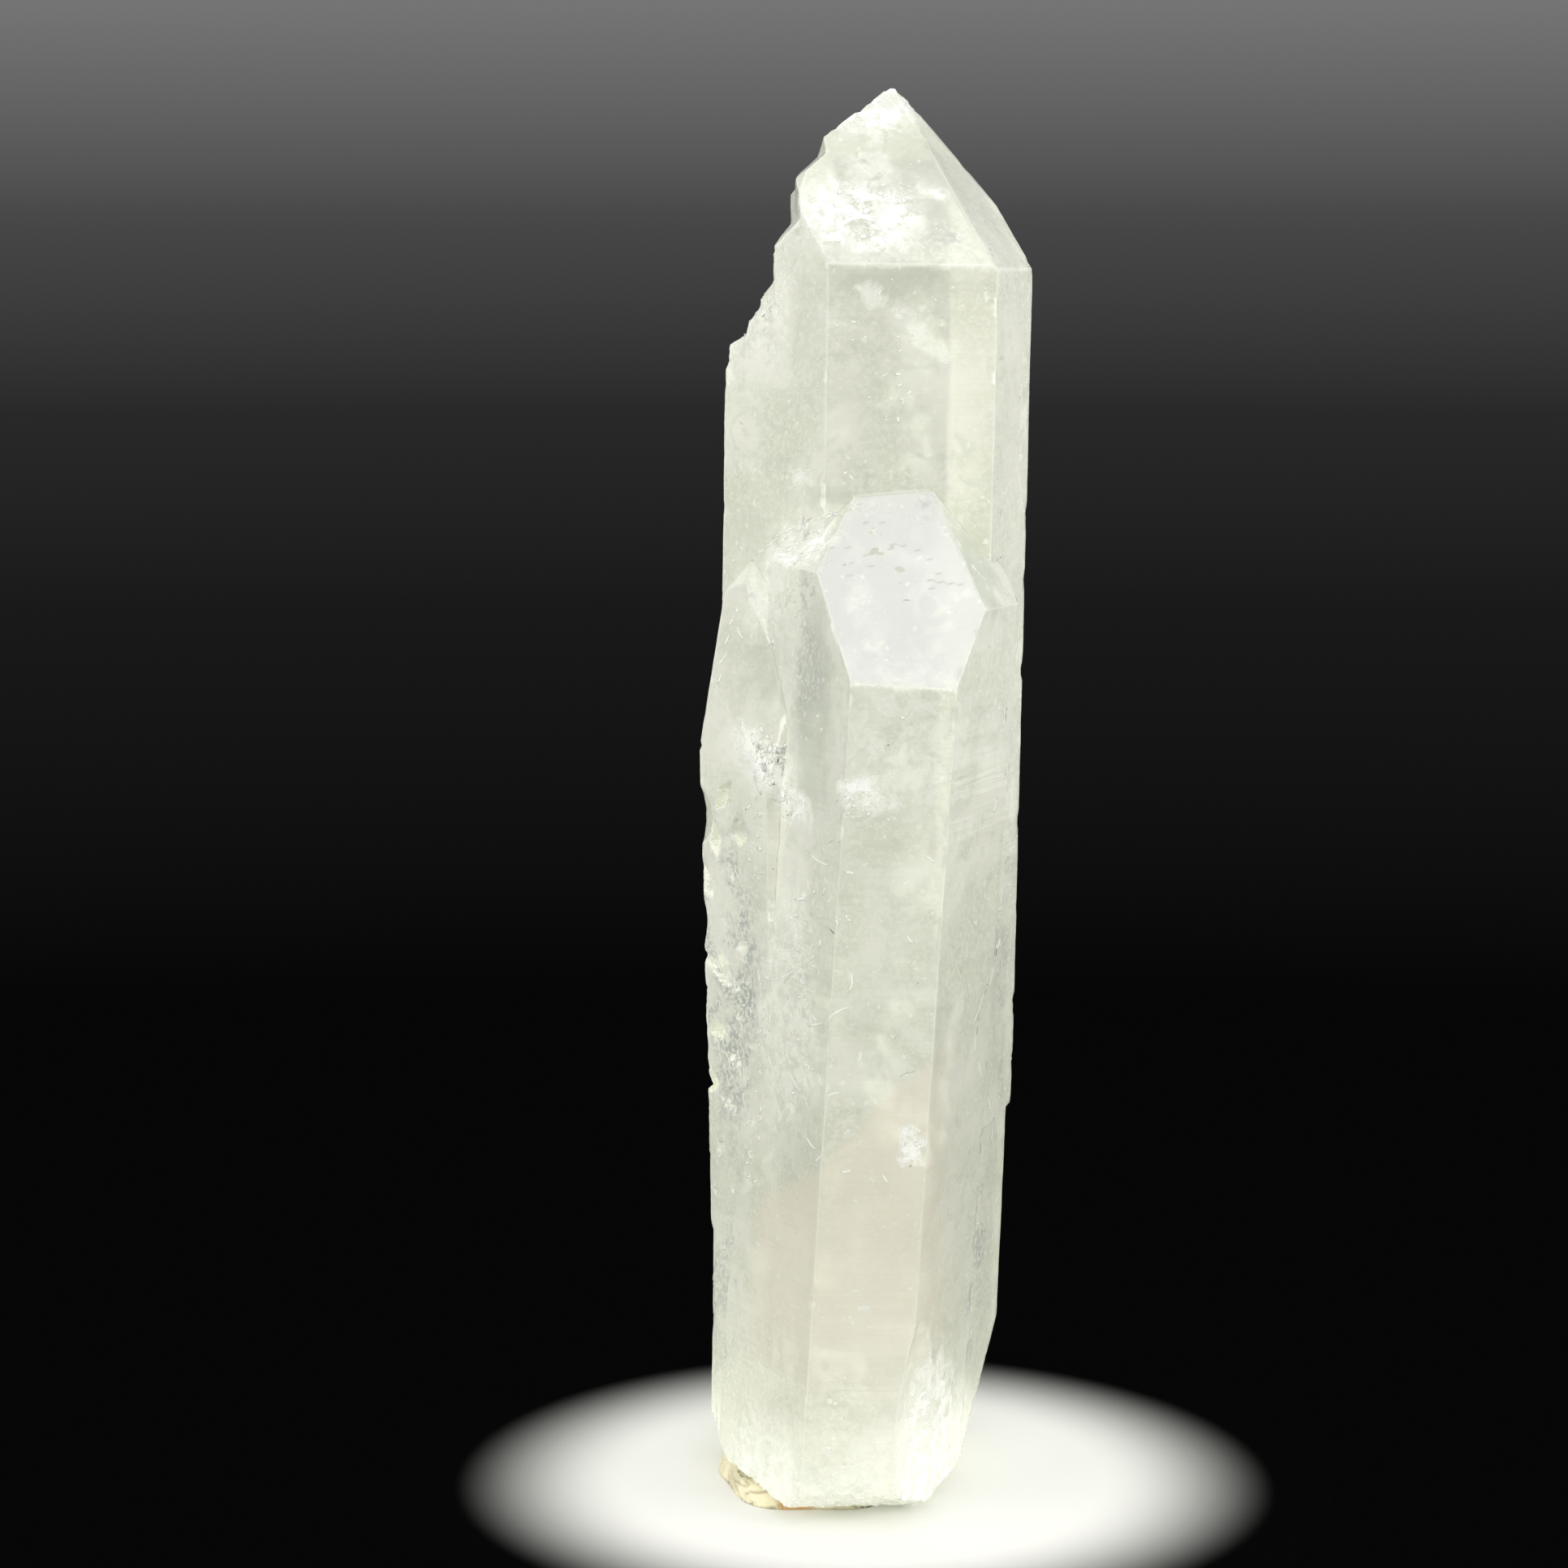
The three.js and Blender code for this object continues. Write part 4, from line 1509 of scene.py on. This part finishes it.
@dataclass
class Studio:
    """The camera, the lights, the floor with its painted pool of light and the dark room. Lengths are in
    metres.

    The room is given by how bright it is at some heights of the view's direction, from down to up.
    """

    eye: tuple[float, float, float] = (-0.00585, -0.2667, 0.091)
    pitch: float = 8.5
    focal_pixels: float = 4669.0
    frame_pixels: float = 1932.0
    clip_from: float = 0.01
    floor_radius: float = 0.034
    floor_sides: int = 96
    floor_drop: float = 0.00003
    floor_pale: Colour = (0.88, 0.88, 0.84)
    floor_painted_dark: Colour = (0.002, 0.002, 0.002)
    pale_to: float = 0.017
    painted_dark_from: float = 0.030
    aim: tuple[float, float, float] = (0.0, 0.0, 0.05)
    room: tuple[tuple[float, float], ...] = (
        (-0.2, 0.002), (-0.1, 0.010), (-0.05, 0.022), (0.0, 0.064), (0.056, 0.18), (0.25, 0.45), (1.0, 0.7),
    )
    lights: tuple[Softbox, ...] = (
        Softbox("overhead", (0.0, -0.16, 0.42), 0.40, 0.34, 0.24, (0.88, 0.92, 1.0)),
        Softbox("front", (0.0, -0.44, 0.32), 0.44, 0.26, 0.64, (1.0, 0.985, 0.975)),
        Softbox("left_side", (-0.40, -0.22, 0.13), 0.34, 0.34, 1.35, (1.0, 0.985, 0.975)),
        Softbox("right_side", (0.40, -0.22, 0.13), 0.34, 0.34, 1.5, (1.0, 0.985, 0.975)),
        Softbox("left_back", (-0.30, 0.26, 0.12), 0.22, 0.30, 0.12),
        Softbox("right_back", (0.30, 0.26, 0.12), 0.22, 0.30, 0.12),
    )

    def build(self, effects: Effects) -> None:
        """Sets up the whole studio.

        Args:
            effects: The shared node groups.
        """
        self._camera()
        for light in self.lights:
            self._light(light)
        self._floor(effects)
        self._world()
        bpy.context.scene.view_settings.view_transform = "Standard"
        bpy.context.scene.cycles.transparent_max_bounces = 32

    def _camera(self) -> None:
        """Puts the camera where the photograph was taken from."""
        lens = bpy.data.cameras.new("camera")
        lens.angle = 2.0 * math.atan(0.5 * self.frame_pixels / self.focal_pixels)
        lens.clip_start = self.clip_from
        camera = bpy.data.objects.new("camera", lens)
        camera.location = self.eye
        camera.rotation_euler = (math.radians(90.0 - self.pitch), 0.0, 0.0)
        bpy.context.scene.collection.objects.link(camera)
        bpy.context.scene.camera = camera

    def _light(self, box: Softbox) -> None:
        """Hangs one softbox.

        Args:
            box: The light's place, size and power.
        """
        lamp = bpy.data.lights.new(box.name, "AREA")
        lamp.shape = "RECTANGLE"
        lamp.size = box.width
        lamp.size_y = box.height
        lamp.energy = box.power
        lamp.color = box.colour
        holder = bpy.data.objects.new(box.name, lamp)
        holder.location = box.place
        toward = Vector(self.aim) - Vector(box.place)
        holder.rotation_euler = toward.to_track_quat("-Z", "Y").to_euler()
        bpy.context.scene.collection.objects.link(holder)

    def _floor(self, effects: Effects) -> None:
        """Lays a pale floor with a painted pool of light, which falls into painted dark away from the
        specimen.

        Args:
            effects: The shared node groups.
        """
        bm = bmesh.new()
        bmesh.ops.create_circle(bm, cap_ends=True, segments=self.floor_sides, radius=self.floor_radius)
        mesh = bpy.data.meshes.new("floor")
        bm.to_mesh(mesh)
        bm.free()
        floor = bpy.data.objects.new("floor", mesh)
        floor.location.z = -self.floor_drop
        bpy.context.scene.collection.objects.link(floor)
        mesh.materials.append(self._floor_material(effects))

    def _floor_material(self, effects: Effects) -> bpy.types.Material:
        """Makes the floor's finish: a painted pool of light, pale around the specimen and painted dark far
        from it.

        Args:
            effects: The shared node groups.

        Returns:
            The finished material.
        """
        paint = Paint("floor", effects)
        paint.plain(Roughness=0.6, Metallic=0.0, Specular_IOR_Level=0.0)
        away = paint.nodes.new("ShaderNodeVectorMath")
        away.operation = "LENGTH"
        paint.links.new(paint.position, away.inputs[0])
        # painted falloff from the pale floor into painted dark
        painted_falloff = paint.nodes.new("ShaderNodeMapRange")
        painted_falloff.interpolation_type = "SMOOTHSTEP"
        painted_falloff.inputs["From Min"].default_value = self.pale_to
        painted_falloff.inputs["From Max"].default_value = self.painted_dark_from
        paint.links.new(away.outputs["Value"], painted_falloff.inputs["Value"])
        paint.feed("Base Color", paint.mix(painted_falloff.outputs["Result"], self.floor_pale, self.floor_painted_dark))
        return paint.material

    def _world(self) -> None:
        """Makes a dark room that lightens a little upwards."""
        world = bpy.data.worlds.new("room")
        world.use_nodes = True
        nodes, links = world.node_tree.nodes, world.node_tree.links
        place = nodes.new("ShaderNodeTexCoord")
        split = nodes.new("ShaderNodeSeparateXYZ")
        rise = nodes.new("ShaderNodeValToRGB")
        low, high = self.room[0][0], self.room[-1][0]
        while len(rise.color_ramp.elements) < len(self.room):
            rise.color_ramp.elements.new(0.5)
        for element, (level, tone) in zip(rise.color_ramp.elements, self.room):
            element.position = (level - low) / (high - low)
            element.color = (tone, tone, tone, 1.0)
        spread = nodes.new("ShaderNodeMapRange")
        spread.inputs["From Min"].default_value = low
        spread.inputs["From Max"].default_value = high
        links.new(place.outputs["Generated"], split.inputs["Vector"])
        links.new(split.outputs["Z"], spread.inputs["Value"])
        links.new(spread.outputs["Result"], rise.inputs["Fac"])
        links.new(rise.outputs["Color"], nodes["Background"].inputs["Color"])
        bpy.context.scene.world = world


def main() -> None:
    """Builds the scene in order and reports each piece."""
    logging.basicConfig(level=logging.INFO, format="%(name)s: %(message)s")
    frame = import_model()
    noise.seed_set(NOISE_SEED)
    effects = Effects()
    Studio().build(effects)
    crystal = frame["nodes"][Node.CRYSTAL.value]
    putty = frame["nodes"][Node.PUTTY.value]
    skin = CrystalSkin()
    surface = skin.build(crystal, QuartzFinish().build(effects))
    pieces = [surface, PuttyPad().build(putty, PuttyFinish().build(effects))]
    interior = Interior(crystal)
    broad = Inclusions(interior, rings=14, spokes=40)
    small = Inclusions(interior, rings=3, spokes=10, thickness=0.04, depth=0.26)
    shallow = Inclusions(interior, rings=2, spokes=8, thickness=0.02, depth=-0.03, pinned=True)
    curved = Inclusions(interior, rings=3, spokes=16, thickness=0.02, depth=-0.03, pinned=True)
    white, grey = FLAKE.build(effects), DARK_SPECK.build(effects)
    pieces.append(broad.build("bright_veils", bright_veils(), BRIGHT_VEIL.build(effects)))
    pieces.append(broad.build("soft_veils", soft_veils(), SOFT_VEIL.build(effects)))
    pieces.append(shallow.build("bright_marks", marks(), white))
    pieces.append(curved.build("fine_cracks", fine_cracks(), white))
    pieces.append(curved.build("dark_streaks", dark_streaks(), grey))
    pieces.append(small.build("dark_specks", dark_specks(), grey))
    pieces.append(skin.build_crust(surface, CRUST.build(effects)))
    pieces.append(small.build("bright_flakes", flakes(), white))
    for piece in pieces:
        LOG.info("%s has %d faces", piece.name, len(piece.data.polygons))


if __name__ == "__main__":
    main()
